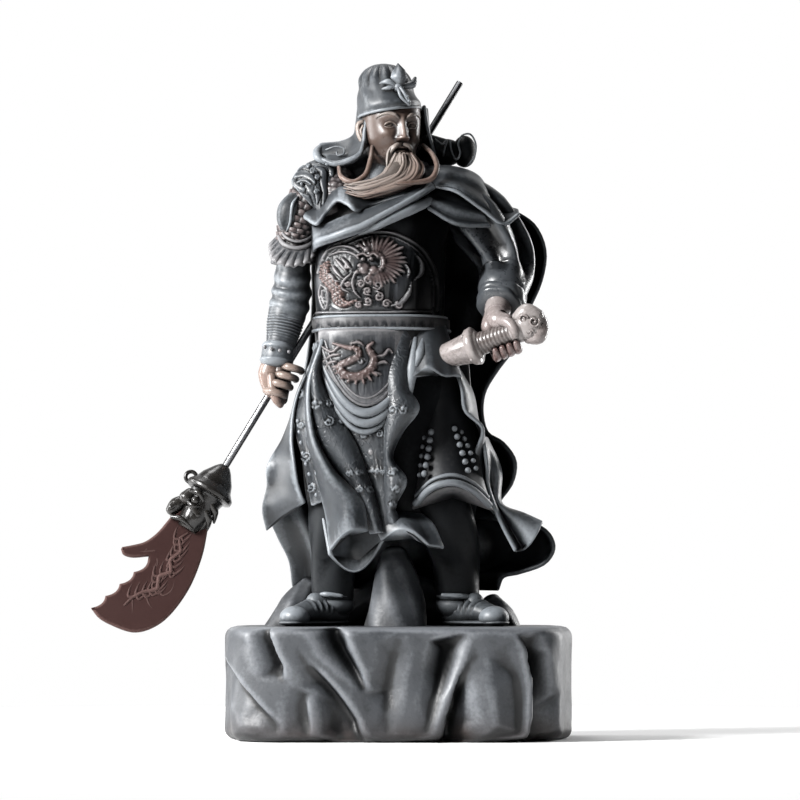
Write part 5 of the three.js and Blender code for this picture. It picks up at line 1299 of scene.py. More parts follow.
# The beard's core under the strands is darkened with painted shade
figure_forms.append(limb([on_head(0.3, -3.9, -4.2), [1.4, -7.4, 80.6], [0.2, -9.2, 78.2],
                          [-3.4, -9.9, 76.8], [-8.2, -9, 76.8]], [1.8, 2.6, 2.5, 1.8, 0.7],
                         sides=28, steps=36, squash=0.6, finish="beard", rub=-0.6))
strand_share = np.linspace(0, 1, 30)
upper_edge, lower_edge = spline(beard_upper, strand_share), spline(beard_lower, strand_share)
for layer, count in ((0, 15), (1, 14)):
    for k in range(count):
        s = (k + 0.5 * layer + 0.25) / count
        sway = 0.2 * np.sin(7 * strand_share + 2.3 * k + layer)[:, None] * np.array([0.3, 0.2, 1])
        path = mix(upper_edge, lower_edge, s) + sway
        path[:, 1] -= 0.9 * math.sin(math.pi * s) + 0.3 * layer + 0.25 * math.sin(5.3 * k)
        shorter = int(30 - (k * 5 + layer * 3) % 7)
        figure_forms.append(limb(path[:shorter], [0.26, 0.4, 0.46, 0.36, 0.08], sides=8, steps=36,
                                 finish="beard", rub=0.1 + 0.8 * s * s))
# Two long thin locks hang in loops beside the chin
figure_forms += [
    limb([[-4.2, -5.2, 84.6], [-4.5, -7.6, 82], [-5.4, -9.2, 79.2], [-7.4, -9.8, 77.9],
          [-9.5, -8.8, 78.8], [-10.1, -6.8, 80.8]], [0.36, 0.46, 0.5, 0.46, 0.34], sides=14, steps=60,
         finish="beard", rub=0.9),
    limb([[4.8, -3.8, 85], [6.5, -6.4, 83], [7.2, -8.4, 80.6], [6.2, -9.8, 78.5], [3.4, -10.9, 77.7],
          [0.2, -11.9, 77.5]], [0.36, 0.46, 0.5, 0.46, 0.3], sides=14, steps=60, finish="beard", rub=0.9),
]

# %% The hat
hat_levels = np.array([[89.9, -1, -0.6, 5.45, 7], [91.2, -1.2, -0.8, 5.6, 7.45],
                       [93.4, -1.5, -0.5, 5.3, 7], [94.6, -1.7, -0.2, 5, 6.4],
                       [95.6, -1.8, 0, 4.85, 6], [97.2, -2, 0.4, 4.6, 5.3],
                       [98.6, -2.1, 0.8, 3.7, 4.3], [99.6, -2.2, 0.9, 2.2, 2.6],
                       [99.95, -2.2, 0.9, 0.8, 1]])


def on_hat(degrees, z, lift=0.0):
    middle_x, middle_y, wide, deep = levels_at(hat_levels, z)
    a = math.radians(degrees)
    return [middle_x + (wide + lift) * math.cos(a), middle_y + (deep + lift) * math.sin(a), z]


def crown_folds(angle, t):
    depth = 0.1 * soft_step(t, 0.4, 0.62) * (1 - 0.8 * soft_step(t, 0.8, 0.95))
    pleats = depth * (np.abs(np.cos(6.5 * angle + 0.6)) - 0.75)
    side_folds = (0.034 * hill(t, 0.3, 0.17) * np.cos(9 * angle + 10 * t)
                  * soft_step(-np.cos(angle), 0, 0.7))
    return pleats + side_folds


hat_front = -68
hat_forms = [
    loft(hat_levels, sides=168, rows=72, power=2.1, wave=crown_folds),
    limb([on_hat(hat_front + d, 90.1, 0.05) for d in range(-110, 111, 20)], 0.3, sides=10, steps=60,
         up=UP),
]
# The rim climbs towards the figure's left temple
for form in hat_forms:
    across, up_share = places_of(form.points)
    climb = 0.2 + 0.14 * (across + 6.5).clip(0, 12)
    form.points[:, 2] += unit * climb * (1 - soft_step(up_share, 90.4, 94.5))
figure_forms += hat_forms
figure_forms += [
    # The knot, the tall leaf and its small leaves
    ball([0.4, -6.6, 95], 1.0),
    limb([[0.5, -6.5, 95], [0.5, -6.9, 96.7], [0.5, -6.3, 97.9], [0.35, -5.9, 99.2]], [0.7, 1.4, 1.1, 0.15],
         sides=24, steps=24, squash=0.75, wave=lambda a, t: 0.06 * np.cos(4 * a)),
    limb([[1.6, -6.2, 95.2], [2.9, -5.6, 95.6], [3.4, -4.9, 96.8]], [0.5, 0.75, 0.3], sides=14),
    limb([[0, -7, 95.2], [-1.4, -7.1, 95.9], [-2.8, -6.6, 95.7]], [0.4, 0.55, 0.2], sides=12),
    limb([[0, -7, 95], [-1.3, -7.2, 94.8], [-2.4, -7, 94.6]], [0.35, 0.45, 0.2], sides=12),
    # The V of straps over the brow
    limb([[0.8, -7.5, 94.8], [1.7, -7.9, 93.4], [2.3, -7.7, 91.8]], [0.32, 0.36, 0.3], sides=10),
    limb([[0.4, -7.5, 94.6], [0.9, -7.9, 93.2], [2.2, -7.8, 91.9]], [0.3, 0.34, 0.28], sides=10),
    ball([2.3, -7.9, 92.4], 0.34, sides=10, rows=6),
    ball([2, -8, 93.2], 0.3, sides=10, rows=6),
    # The curtain swept aside, with its rolled end, and the cloth behind the neck
    panel([[-6.6, 1.6, 92.6], [-6.9, 1.2, 89.4], [-7.4, 0.4, 87], [-9.6, -0.6, 85.6], [-13.4, -1.6, 85]],
          [[-5, -3.2, 91], [-5.5, -4.2, 87.6], [-5.9, -5, 84.2], [-7.6, -5.2, 82.2],
           [-12.2, -4.4, 81.9]],
          shape=lambda u, v: (-0.4 * v * np.sin(2 * np.pi * u), -0.9 * bump(v) * bump(u),
                              -0.3 * bump(u) + 0.3 * v * np.cos(3 * np.pi * u)),
          across=30, down=50),
    # Its rolled hem, the thick end, and the engraved curl
    limb([[-5.7, -5.2, 85.4], [-6.4, -5.8, 83.2], [-8.4, -5.7, 82], [-11, -5, 81.6], [-12.9, -4.4, 82.4]],
         [0.3, 0.5, 0.6, 0.55, 0.35], sides=14, steps=30),
    limb([[-13.3, -1.6, 85], [-14, -2.4, 84], [-13.8, -3.4, 82.8], [-12.6, -4.2, 81.9]],
         [0.5, 0.75, 0.75, 0.45], sides=16, steps=24),
    limb([[-12.4, -3.6, 84.2], [-10.6, -4, 84.7], [-9.2, -4.5, 84.2], [-9.3, -4.9, 83.3],
          [-10.3, -4.8, 83.1], [-10.5, -4.6, 83.7]], 0.17, sides=8, steps=40),
    panel([[-5.8, 3, 92], [-6.6, 4.8, 86], [-7.4, 5.2, 82], [-9.4, 5.4, 78.6]],
          [[5.4, 3, 92], [6, 4.8, 86], [6.8, 5.2, 82], [9, 5.2, 78.8]],
          shape=lambda u, v: (0, (2.8 + 4.4 * v ** 3) * bump(u) + 0.4 * v * np.cos(7 * np.pi * u),
                              -1.3 * v ** 3 * bump(u)),
          across=48, down=36, front=(0, 1, 0)),
    panel([[5, -1.6, 92], [5.6, -1, 88], [6.8, -0.4, 84]], [[5.2, 3, 92], [5.8, 4.4, 88], [6.6, 4.8, 82]],
          across=14, down=20),
]
print("forms so far:", len(figure_forms))

# %% [markdown]
# ## Beads, studs and rivets
# Small round things repeat along lines: studs on the robe, beads on the mail and rivets on the cuff. One
# Geometry Nodes tree lays a flattened ball at even steps along a path.
# Its named inputs are the step, the radius and how flat the ball is.

# %% The stud tree
def socket_id(tree, name):
    for item in tree.interface.items_tree:
        if item.item_type == "SOCKET" and item.in_out == "INPUT" and item.name == name:
            return item.identifier
    raise KeyError(name)


def stud_tree(finish):
    tree = bpy.data.node_groups.new("studs_along_a_path", "GeometryNodeTree")
    face = tree.interface
    face.new_socket("Path", in_out="INPUT", socket_type="NodeSocketGeometry")
    for name in ("Step", "Radius", "Flatness"):
        face.new_socket(name, in_out="INPUT", socket_type="NodeSocketFloat")
    face.new_socket("Studs", in_out="OUTPUT", socket_type="NodeSocketGeometry")
    given = wire(tree, "NodeGroupInput").outputs
    points = wire(tree, "GeometryNodeCurveToPoints", {"Curve": given["Path"], "Length": given["Step"]},
                  mode="LENGTH").outputs
    stud = wire(tree, "GeometryNodeMeshUVSphere", {"Segments": 10, "Rings": 6, "Radius": 1.0}).outputs[0]
    flat = wire(tree, "ShaderNodeCombineXYZ", {0: 1, 2: 1.0}).outputs[0]
    tree.links.new(given["Flatness"], flat.node.inputs[1])
    size = wire(tree, "ShaderNodeVectorMath", {0: flat}, operation="SCALE").outputs[0]
    tree.links.new(given["Radius"], size.node.inputs["Scale"])
    studs = wire(tree, "GeometryNodeInstanceOnPoints", {"Points": points["Points"], "Instance": stud,
                                                        "Scale": size}).outputs[0]
    real = wire(tree, "GeometryNodeRealizeInstances", {"Geometry": studs}).outputs[0]
    done = wire(tree, "GeometryNodeSetMaterial", {"Geometry": real, "Material": finish}).outputs[0]
    wire(tree, "NodeGroupOutput", {"Studs": done})
    return tree


# %% Lay the studs
def studs(points, step, radius, flatness=0.7, finish="armour", rub=0.0):
    """Studs along a path given in shares of the figure; step and radius are shares too."""
    path = place(spline(points, np.linspace(0, 1, 24)))
    data = bpy.data.curves.new("stud_path", "CURVE")
    data.dimensions = "3D"
    line = data.splines.new("POLY")
    line.points.add(len(path) - 1)
    line.points.foreach_set("co", np.column_stack([path * MM, np.ones(len(path))]).ravel())
    guide = bpy.data.objects.new("stud_path", data)
    bpy.context.scene.collection.objects.link(guide)
    tree = stud_tree(finishes[finish])
    maker = guide.modifiers.new("studs", "NODES")
    maker.node_group = tree
    for name, value in (("Step", step * unit * MM), ("Radius", radius * unit * MM),
                        ("Flatness", flatness)):
        maker[socket_id(tree, name)] = value
    made = guide.evaluated_get(bpy.context.evaluated_depsgraph_get()).to_mesh()
    points = np.zeros(3 * len(made.vertices))
    made.vertices.foreach_get("co", points)
    quads = np.array([list(p.vertices) for p in made.polygons if len(p.vertices) == 4])
    fans = np.array([list(p.vertices) for p in made.polygons if len(p.vertices) == 3])
    bpy.data.objects.remove(guide)
    bpy.data.node_groups.remove(tree)
    uv = [np.zeros((len(quads), 4, 2)), np.zeros((len(fans), 3, 2))]
    return Form(points.reshape(-1, 3) / MM, [quads, fans], uv, finish, rub)


figure_forms += [
    # Two columns of beads on the mail skirt, with painted shade
    studs([[6.2, -7.4, 34], [5.6, -8.9, 30], [5, -10, 26.6]], 1.45, 0.62, finish="robe", rub=-0.35),
    studs([[4.9, -7, 33], [4.5, -8.3, 30], [4.1, -9.3, 26.4]], 1.45, 0.45, finish="robe", rub=-0.5),
    studs([[10.3, -7.6, 34.6], [11.4, -9.2, 31], [12.6, -10.2, 27.2]], 1.4, 0.56, finish="robe", rub=-0.35),
    studs([[11.5, -7, 34], [12.8, -8.4, 31], [14, -9.2, 27.6]], 1.4, 0.45, finish="robe", rub=-0.5),
    # Studs down the middle panel
    studs([[-4.6, -11.2, 34], [-4.3, -11.3, 30.4], [-3.2, -11.4, 26.9]], 3.2, 0.6, 0.5),
    # Rivets round the cuff and the sword's throat
    studs([[-23.2, -3.6, 49.2], [-21.2, -5.2, 48.6], [-18.9, -4.6, 48.3]], 1.6, 0.34),
    studs([on_sword(0, 2, 2.4), on_sword(0, 0, 3.1), on_sword(0, -2, 2.4)], 2, 0.34,
          finish="hilt"),
    studs([[-17.2, -6.5, 36], [-16.2, -7.2, 30], [-13.9, -8.4, 23]], 1.7, 0.42, finish="robe"),
]
print("forms so far:", len(figure_forms))

# %% [markdown]
# ## The rock
# The rock is a broad block whose front falls in slanted facets, like wood cut with a gouge. The facets
# are drawn as lines: each point is its place across and up in hundredths of the half width and height,
# and how many millimetres it lies behind the front. Between the lines the surface is flat, in
# triangles.

# %% The rock's lines
facet_lines = [
    # The slanted ledge: its lip, and the face set back below it
    [[-101, 74, 0.6], [-91, 53, 0.2], [-81, 35, 0.4], [-69, 17, 1.2]],
    [[-101, 71, 4.2], [-92, 49, 4.8], [-82, 31, 4.2], [-70, 12, 2.4]],
    [[-97, 32, 1.2], [-91, 15, 1], [-84, 5, 1.8]],
    # The first slot and the ridge to its right
    [[-79, 99, 4.5], [-75, 83, 7.5], [-71, 68, 7.5], [-67, 56, 2.2]],
    [[-76, 99, 0.2], [-71, 82, 0], [-65, 65, 0], [-63, 48, 0.8]],
    [[-88, 98, 1.2], [-84, 79, 1.4], [-79, 56, 1.2], [-73, 35, 1]],
    # The dark wedge between two bright ridges
    [[-51, 96, 0.6], [-44, 77, 0.2], [-34, 62, 0.6], [-24, 50, 1.6], [-20, 42, 2.2]],
    [[-43, 99, 8], [-37, 82, 9.5], [-29, 66, 8], [-22, 49, 4]],
    [[-31, 99, 0.6], [-26, 79, 0.2], [-20, 58, 0.6], [-18, 45, 1.6]],
    # The facet beside it and the soft valley that ends it
    [[1, 96, 1.2], [-3, 74, 3.6], [-7, 45, 5.4], [-8, 24, 3]],
    [[-12, 88, 0.4], [-14, 65, 1.2]],
    [[8, 83, 1.2], [4, 52, 1.4], [1, 21, 1.2]],
    # The long groove, with a sharp edge on its right
    [[-52, 68, 1.8], [-45, 53, 7], [-36, 35, 9], [-28, 19, 9], [-23, 2, 6]],
    [[-50, 69, 0.6], [-39, 52, 0.6], [-30, 35, 0.8], [-24, 20, 1.2], [-18, 2, 1.6]],
    [[-59, 88, 0.6], [-57, 66, 0.8], [-57, 49, 1.4]],
    # The small upright swelling under the groove
    [[-55, 42, 3.4], [-56, 24, 4.6], [-55, 3, 2.8]],
    [[-50, 43, 2.4], [-49, 27, 0.2], [-48, 3, 0.8]],
    [[-44, 35, 6], [-41, 19, 8], [-38, 2, 6.5]],
    [[-66, 33, 0.8], [-68, 4, 1.4]],
    # The thin ridge with hollows on both its sides
    [[40, 96, 0.2], [37, 74, -0.4], [29, 45, -0.4], [23, 21, 0], [19, 3, 0.6]],
    [[25, 87, 6.5], [32, 79, 9], [29, 59, 8.5], [22, 35, 4.5], [17, 12, 2]],
    [[39, 74, 1.2], [33, 42, 2], [28, 21, 2.4], [25, 2, 2.6]],
    [[38, 63, 3], [35, 43, 13], [34, 22, 15], [33, 1, 14]],
    [[18, 88, 1.6], [15, 63, 2.2], [11, 35, 1.2], [8, 3, 1.4]],
    # The great lobe and its rolled rim
    [[41, 70, 1.6], [42, 43, 1.2], [45, 19, 1.8], [48, 1, 3]],
    [[50, 79, 0.8], [52, 43, -1.2], [54, 15, -0.6]],
    [[61, 79, 1.4], [68, 58, 2.8], [72, 35, 3.4], [72, 10, 3.4]],
    [[67, 95, 0.6], [74, 74, -0.4], [78, 50, -0.4], [79, 26, 0], [76, 3, 0.8]],
    # The hollow behind it and the lobe at the end
    [[78, 86, 6], [80, 70, 12], [82, 50, 13], [83, 29, 14], [83, 1, 14]],
    [[84, 96, 3], [89, 79, 3], [91, 56, 3.4], [92, 40, 5]],
    [[94, 79, 3.4], [97, 43, 3.6], [97, 12, 4]],
    [[88, 29, 10], [90, 2, 10]],
    # The corners
    [[-101, 99, 2]],
    [[101, 99, 3.4]],
    [[-101, -1, 3.6]],
    [[101, -1, 5]],
    [[-5, -1, 1.6]],
    [[-86, -1, 2.4]],
]


def facet_depths(run, rise):
    """Depth behind the front, read from the triangles between the drawn lines."""
    points, depths, edges = [], [], []
    for line in facet_lines:
        first = len(points)
        points += [(x, z) for x, z, _ in line]
        depths += [depth for _, _, depth in line]
        edges += [(first + n, first + n + 1) for n in range(len(line) - 1)]
    flat, _, triangles, origins, _, _ = delaunay_2d_cdt([Vector(p) for p in points], edges, [], 0, 1e-4)
    flat = np.array([tuple(p) for p in flat])
    known = np.array(depths)
    level = [known[origin[0]] if origin else known[np.argmin(np.hypot(*(np.array(points) - p).T))]
             for p, origin in zip(flat, origins)]
    x, z = 100 * run, 100 * rise
    depth = np.full(x.shape, 2.0)
    for triangle in triangles:
        a, b, c = (flat[n] for n in triangle)
        area = (b[0] - a[0]) * (c[1] - a[1]) - (c[0] - a[0]) * (b[1] - a[1])
        if abs(area) < 1e-6:
            continue
        share_b = ((x - a[0]) * (c[1] - a[1]) - (c[0] - a[0]) * (z - a[1])) / area
        share_c = ((b[0] - a[0]) * (z - a[1]) - (x - a[0]) * (b[1] - a[1])) / area
        inside = (share_b >= -1e-6) & (share_c >= -1e-6) & (share_b + share_c <= 1 + 1e-6)
        value = (level[triangle[0]] * (1 - share_b - share_c) + level[triangle[1]] * share_b
                 + level[triangle[2]] * share_c)
        depth[inside] = value[inside]
    return depth


def lumps(x, y, z, seed, size):
    """Smooth noise in millimetres: a sum of waves in fixed directions."""
    draw = np.random.default_rng(seed)
    total = np.zeros(np.broadcast(x, y, z).shape)
    for _ in range(14):
        way = draw.normal(size=3)
        way *= (0.6 + 0.8 * draw.random()) / (np.linalg.norm(way) * size)
        total += np.sin(2 * np.pi * (way[0] * x + way[1] * y + way[2] * z) + 6.28 * draw.random())
    return total / 5


def rock_skin(sides=440, rows=88):
    rise = np.linspace(0, 1, rows + 1)[:, None]
    edge = np.minimum(rise, 1 - rise) * base_height
    fall = np.where(edge < base_edge_round,
                    base_edge_round - np.sqrt(np.maximum(
                        base_edge_round ** 2 - (base_edge_round - edge) ** 2, 0)), 0)
    c, s, reach = rounded_square(full_turn(sides)[None, :], 5)
    run = -np.sign(np.where(s == 0, 1, s)) * c * reach
    cut = facet_depths(*np.broadcast_arrays(np.clip(run, -1, 1), np.clip(rise, 0, 1)))
    for _ in range(2):
        cut[1:-1] = 0.25 * cut[:-2] + 0.5 * cut[1:-1] + 0.25 * cut[2:]
        cut = 0.25 * np.roll(cut, 1, 1) + 0.5 * cut + 0.25 * np.roll(cut, -1, 1)
    half_w, half_d = base_width / 2, base_depth / 2
    cut = np.where(s < 0, 1.2 * cut, cut)
    inward = 1 - (cut * soft_step(np.abs(s), 0, 0.4) + fall) / np.hypot(half_w * c, half_d * s)
    x, y = half_w * c * reach * inward, half_d * s * reach * inward
    z = base_height * rise + 0 * x
    rough = -0.7 - 0.5 * lumps(x, y, z, 3, 46) - 0.22 * lumps(x, y, z, 5, 14)
    rough = np.minimum(rough, 0) * soft_step(rise, 0, 0.06)
    length = np.hypot(x, y)
    x, y = x * (1 + rough / length), y * (1 + rough / length)
    # Painted shade in the hollows higher up; the foot and the hollows near it turn brown
    hollow = soft_step(cut, 3.2, 8.5)
    brown_and_painted_shade = (hill(z, 0, 10) * (0.6 + 0.3 * lumps(x, y, z, 9, 30)) + 0.6 * hollow * hill(z, 0, 24)
             - 0.95 * hollow * (1 - hill(z, 0, 20)))
    # The flat top and underside are closed by rings that draw in to the middle
    rings = np.stack([x, y, z], -1)
    shares = np.array([0.97, 0.9, 0.75, 0.55, 0.3])
    top = [np.stack([x[-1] * f, y[-1] * f, z[-1]], -1) for f in shares]
    low = [np.stack([x[0] * f, y[0] * f, z[0]], -1) for f in shares[::-1]]
    paint = np.vstack([np.zeros((5, sides)), np.clip(brown_and_painted_shade, -1, 1), np.zeros((5, sides))])
    return skin(np.concatenate([low, rings, top]), "rock", paint)


def boulder(points, radii, seed):
    return limb(points, radii, sides=64, steps=40, finish="rock", blunt=0.7, round_rows=6,
                wave=lambda a, t: 0.03 * np.cos(3 * a + 5 * t + seed) + 0.02 * np.cos(7 * a - 9 * t))


rock_forms = [
    rock_skin(),
    boulder([[0, 0, -1.5], [0.1, 0, 4], [0, 0.4, 9], [-0.3, 1, 12.4]], [5.8, 4.9, 3.8, 2.5], 1),
    boulder([[-20.6, 2.6, -1.6], [-18, 3.2, 3], [-15.2, 4, 6.6]], [3.2, 3, 2.2], 2),
    boulder([[19.4, 4.4, -2], [18.4, 4.8, 1.6], [16.8, 5.2, 4]], [3.2, 2.7, 1.9], 3),
    # The rock that rises behind the legs to the cape's hem
    boulder([[-9, 11.2, 1.6], [-3, 11.6, 4.2], [4, 11.6, 4.2], [10, 11, 1.6]], [3.4, 4.4, 4.4, 3.4], 4),
]

# %% [markdown]
# ## The polearm
# The rod lies in its own frame, with z along it from the hand. The blade is cut from a flat outline
# with a bevel, and a beast among clouds is laid on both its faces. The black socket is turned, then
# carved.

# %% The polearm's own frame
lean, depth_slope = math.radians(30.9), 0.17
shaft_axis = np.array([math.sin(lean), depth_slope, math.cos(lean)])
shaft_axis /= np.linalg.norm(shaft_axis)
across_axis = np.array([math.cos(lean), 0, -math.sin(lean)])
face_axis = np.cross(shaft_axis, across_axis)
polearm_axes = np.stack([across_axis, face_axis, shaft_axis])
grip_point = place(grip)
socket_top = bore_depth - shaft_below_grip
blade_top = socket_top - socket_length + blade_tang


def on_polearm(points):
    return grip_point + np.asarray(points, float) @ polearm_axes


def polearm_limb(points, radii, finish, **options):
    return limb(on_polearm(points), radii, placed=True, finish=finish, up=tuple(face_axis), **options)


# %% The rod
rod_low, rod_high, rod_radius = -shaft_below_grip + seat_gap, shaft_above_grip, shaft_diameter / 2
rod_sides = 64
rod_turn = full_turn(rod_sides)
rod_rings = [on_polearm(np.column_stack([r * np.cos(rod_turn), r * np.sin(rod_turn),
                                         np.full(rod_sides, z)]))
             for z, r in ((rod_low, rod_radius - 0.3), (rod_low + 0.3, rod_radius), (0, rod_radius),
                          (rod_high - 0.35, rod_radius), (rod_high - 0.1, rod_radius - 0.1),
                          (rod_high, rod_radius - 0.3))]
# The finish paints reflections as long lines by the side of the rod, which is kept in the rub number
rod_forms = [skin(np.array(rod_rings), "rod", np.tile(np.cos(rod_turn), (len(rod_rings), 1)))]


# %% The blade
def arc(points):
    flat = np.column_stack([points, np.zeros(len(points))])
    return spline(flat, np.linspace(0, 1, 8 * len(points)))[:, :2]


def blade_outline():
    def at(x, z):
        return np.array([x * blade_width, -z * blade_length])

    line = [at(-0.18, 0)[None], arc([at(-0.255, 0.1), at(-0.3, 0.25), at(-0.37, 0.34), at(-0.47, 0.4),
                                     at(-0.577, 0.454)]),
            arc([at(-0.577, 0.47), at(-0.52, 0.494), at(-0.41, 0.482), at(-0.234, 0.414)])]
    notch, tip = at(-0.215, 0.44), at(-0.51, 0.935)
    for i in range(4):
        start, stop = mix(notch, tip, i / 4), mix(notch, tip, (i + 1) / 4)
        middle = mix(notch, tip, (i + 0.5) / 4) + [0.09 * blade_width, 0]
        t = np.linspace(0, 1, 9)[:-1, None]
        line.append((1 - t) ** 2 * start + 2 * t * (1 - t) * middle + t ** 2 * stop)
    line.append(arc([tip, at(-0.37, 0.965), at(-0.19, 0.965), at(0.13, 0.92), at(0.34, 0.77),
                     at(0.418, 0.5), at(0.35, 0.227), at(0.205, 0)]))
    return np.vstack(line)


def blade_body():
    outline = blade_outline()
    keep = np.linalg.norm(outline - np.roll(outline, 1, 0), axis=1) > 0.25
    outline = outline[keep]
    count = len(outline)
    ahead = np.roll(outline, -1, 0) - np.roll(outline, 1, 0)
    inward = unit_rows(np.column_stack([-ahead[:, 1], ahead[:, 0]]))
    centre = outline.mean(0)
    if ((outline - centre) * inward).sum() > 0:
        inward = -inward
    half = blade_thickness / 2
    rings = []
    for inset, depth in ((1.6, -half), (0.8, -half + 0.12), (0.3, -half + 0.5), (0, -half + 1.1),
                         (0, half - 1.1), (0.3, half - 0.5), (0.8, half - 0.12), (1.6, half)):
        flat = outline + inward * inset
        rings.append(on_polearm(np.column_stack([flat[:, 0], np.full(count, depth),
                                                 flat[:, 1] + blade_top])))
    return np.array(rings)


blade_rings = blade_body()
blade_count = blade_rings.shape[1]
blade_points = blade_rings.reshape(-1, 3)
cap_points = (blade_rings[0] - grip_point) @ polearm_axes.T
cap = np.array(tessellate_polygon([[(p[0], p[2], 0) for p in cap_points]]))
i, k = np.meshgrid(np.arange(len(blade_rings) - 1), np.arange(blade_count), indexing="ij")
i, k = i.ravel(), k.ravel()
after = (k + 1) % blade_count
blade_quads = np.stack([i * blade_count + k, i * blade_count + after, (i + 1) * blade_count + after,
                        (i + 1) * blade_count + k], 1)
top_cap = cap + (len(blade_rings) - 1) * blade_count
side_volume = volume_of(blade_points - blade_points.mean(0),
                        np.vstack([blade_quads[:, [0, 1, 2]], blade_quads[:, [0, 2, 3]]]))
if side_volume < 0:
    blade_quads = blade_quads[:, ::-1]


def facing(triangles, way):
    a, b, c = (blade_points[triangles[:, n]] for n in range(3))
    good = (np.cross(b - a, c - a) @ way) > 0
    return np.where(good[:, None], triangles, triangles[:, ::-1])


blade_caps = np.vstack([facing(cap, -face_axis), facing(top_cap, face_axis)])
blade_forms = [Form(blade_points, [blade_quads, blade_caps],
                    [np.zeros((len(blade_quads), 4, 2)), np.zeros((len(blade_caps), 3, 2))], "blade")]
for face in (-1, 1):
    def line_on_blade(points, radii, lift=0.0, **options):
        path = [[x * blade_width, face * (blade_thickness / 2 - 0.25 + lift),
                 blade_top - z * blade_length] for x, z in points]
        return polearm_limb(path, radii, "blade", sides=10, steps=8 * len(path), squash=0.8, rub=0.75,
                            **options)

    # A winding beast in low relief, with flames along its back
    beast_line = spline([[0.04, 0.13, 0], [-0.01, 0.2, 0], [0.08, 0.27, 0], [0.03, 0.36, 0],
                         [0.11, 0.43, 0], [0.02, 0.5, 0], [0.07, 0.58, 0], [-0.03, 0.64, 0],
                         [-0.13, 0.72, 0], [-0.17, 0.8, 0]], np.linspace(0, 1, 37))[:, :2]
    blade_forms += [
        line_on_blade(beast_line[::2], [0.6, 1, 1.2, 1.3, 1.3, 1.2, 1, 0.6], 0.2),
        line_on_blade([[0.07, 0.58], [0.18, 0.6], [0.24, 0.54], [0.2, 0.46]], [0.9, 0.7, 0.5, 0.3]),
        line_on_blade([[-0.04, 0.64], [0.08, 0.7], [0.16, 0.72]], [0.8, 0.6, 0.3]),
        line_on_blade([[-0.14, 0.72], [-0.06, 0.79], [-0.02, 0.84]], [0.7, 0.5, 0.2]),
        line_on_blade([[-0.2, 0.36], [-0.3, 0.4], [-0.4, 0.43]], [0.6, 0.5, 0.2]),
        line_on_blade([[-0.3, 0.38], [-0.32, 0.42]], [0.5, 0.2]),
        line_on_blade([[-0.12, 0.4], [-0.08, 0.44], [-0.13, 0.47]], [0.5, 0.5, 0.3]),
    ]
    for k in range(30):
        x, z = beast_line[3 + k]
        side = (-1) ** k
        long = 0.09 + 0.035 * math.sin(2.7 * k)
        blade_forms.append(line_on_blade(
            [[x, z], [x + 0.55 * side * long, z + 0.012], [x + 0.9 * side * long, z - 0.03],
             [x + side * long, z - 0.08]], [0.9, 0.85, 0.6, 0.15], 0.15))

# %% The socket
profile = np.array([[0.06, 0], [0.24, 0], [0.32, 0.02], [0.45, 0.06], [0.8, 0.2], [0.95, 0.3],
                    [1.14, 0.36], [1.2, 0.38], [1.22, 0.41], [1.2, 0.44], [1.1, 0.455], [0.9, 0.47],
                    [0.78, 0.6],
                    [0.7, 0.85], [0.5, 1], [0.2, 1]])
socket_turn = full_turn(64)
fine = np.column_stack([np.interp(np.linspace(0, 1, 76), np.linspace(0, 1, len(profile)), profile[:, c])
                        for c in (0, 1)])
socket_rings = [on_polearm(np.column_stack([
    socket_cap_radius * share * np.cos(socket_turn), socket_cap_radius * share * np.sin(socket_turn),
    np.full(len(socket_turn), socket_top - socket_length * down)])) for share, down in fine]


def socket_part(points, radii, **options):
    options = {"sides": 18, "steps": 16, **options}
    path = [[x * socket_cap_radius, y * socket_cap_radius, socket_top - z * socket_length]
            for x, y, z in points]
    return polearm_limb(path, socket_cap_radius * np.asarray(radii), "socket", **options)


socket_forms = [skin(np.array(socket_rings), "socket")]
for side in (-1, 1):
    socket_forms += [
        # Cheek, eye in its ring, brow, nostril, lip and ear tuft
        socket_part([[-0.7, side * 0.35, 0.58], [-0.8, side * 0.4, 0.66]], [0.34, 0.36]),
        socket_part([[-0.35, side * 0.72, 0.62], [-0.33, side * 0.74, 0.64]], [0.2, 0.2]),
        socket_part([[-0.75, side * 0.62, 0.56], [-0.4, side * 0.82, 0.53], [0, side * 0.72, 0.58]],
                    [0.1, 0.17, 0.1]),
        socket_part([[-0.65, side * 0.6, 0.69], [-0.3, side * 0.76, 0.71], [0.05, side * 0.66, 0.66]],
                    [0.08, 0.12, 0.08]),
        socket_part([[-0.2, side * 0.5, 0.72], [0.1, side * 0.5, 0.78]], [0.28, 0.24]),
        socket_part([[-1.12, side * 0.2, 0.8], [-1.2, side * 0.22, 0.86]], [0.18, 0.16]),
        socket_part([[0.4, side * 0.5, 0.56], [0.75, side * 0.4, 0.62], [0.95, side * 0.2, 0.72]],
                    [0.2, 0.18, 0.06]),
        socket_part([[0.35, side * 0.5, 0.68], [0.7, side * 0.36, 0.76], [0.85, side * 0.1, 0.86]],
                    [0.2, 0.18, 0.06]),
        socket_part([[-0.9, side * 0.3, 0.96], [-0.4, side * 0.5, 0.93], [0.2, side * 0.45, 0.96]],
                    [0.12, 0.14, 0.1]),
    ]
socket_forms += [
    socket_part([[-0.75, 0, 0.66], [-1.05, 0, 0.78], [-1.1, 0, 0.88]], [0.3, 0.36, 0.3]),
    socket_part([[0.2, 0, 0.7], [0.45, 0, 0.8], [0.4, 0, 0.9]], [0.4, 0.46, 0.3]),
]
# The ring at the cap's edge
socket_forms.append(socket_part([[-1.15 + 0.26 * math.cos(a), 0,
                                  0.36 + 0.26 * socket_cap_radius / socket_length * math.sin(a)]
                                 for a in np.linspace(0, 2 * np.pi, 25)],
                                0.1, steps=48, sides=12, blunt=0.1))

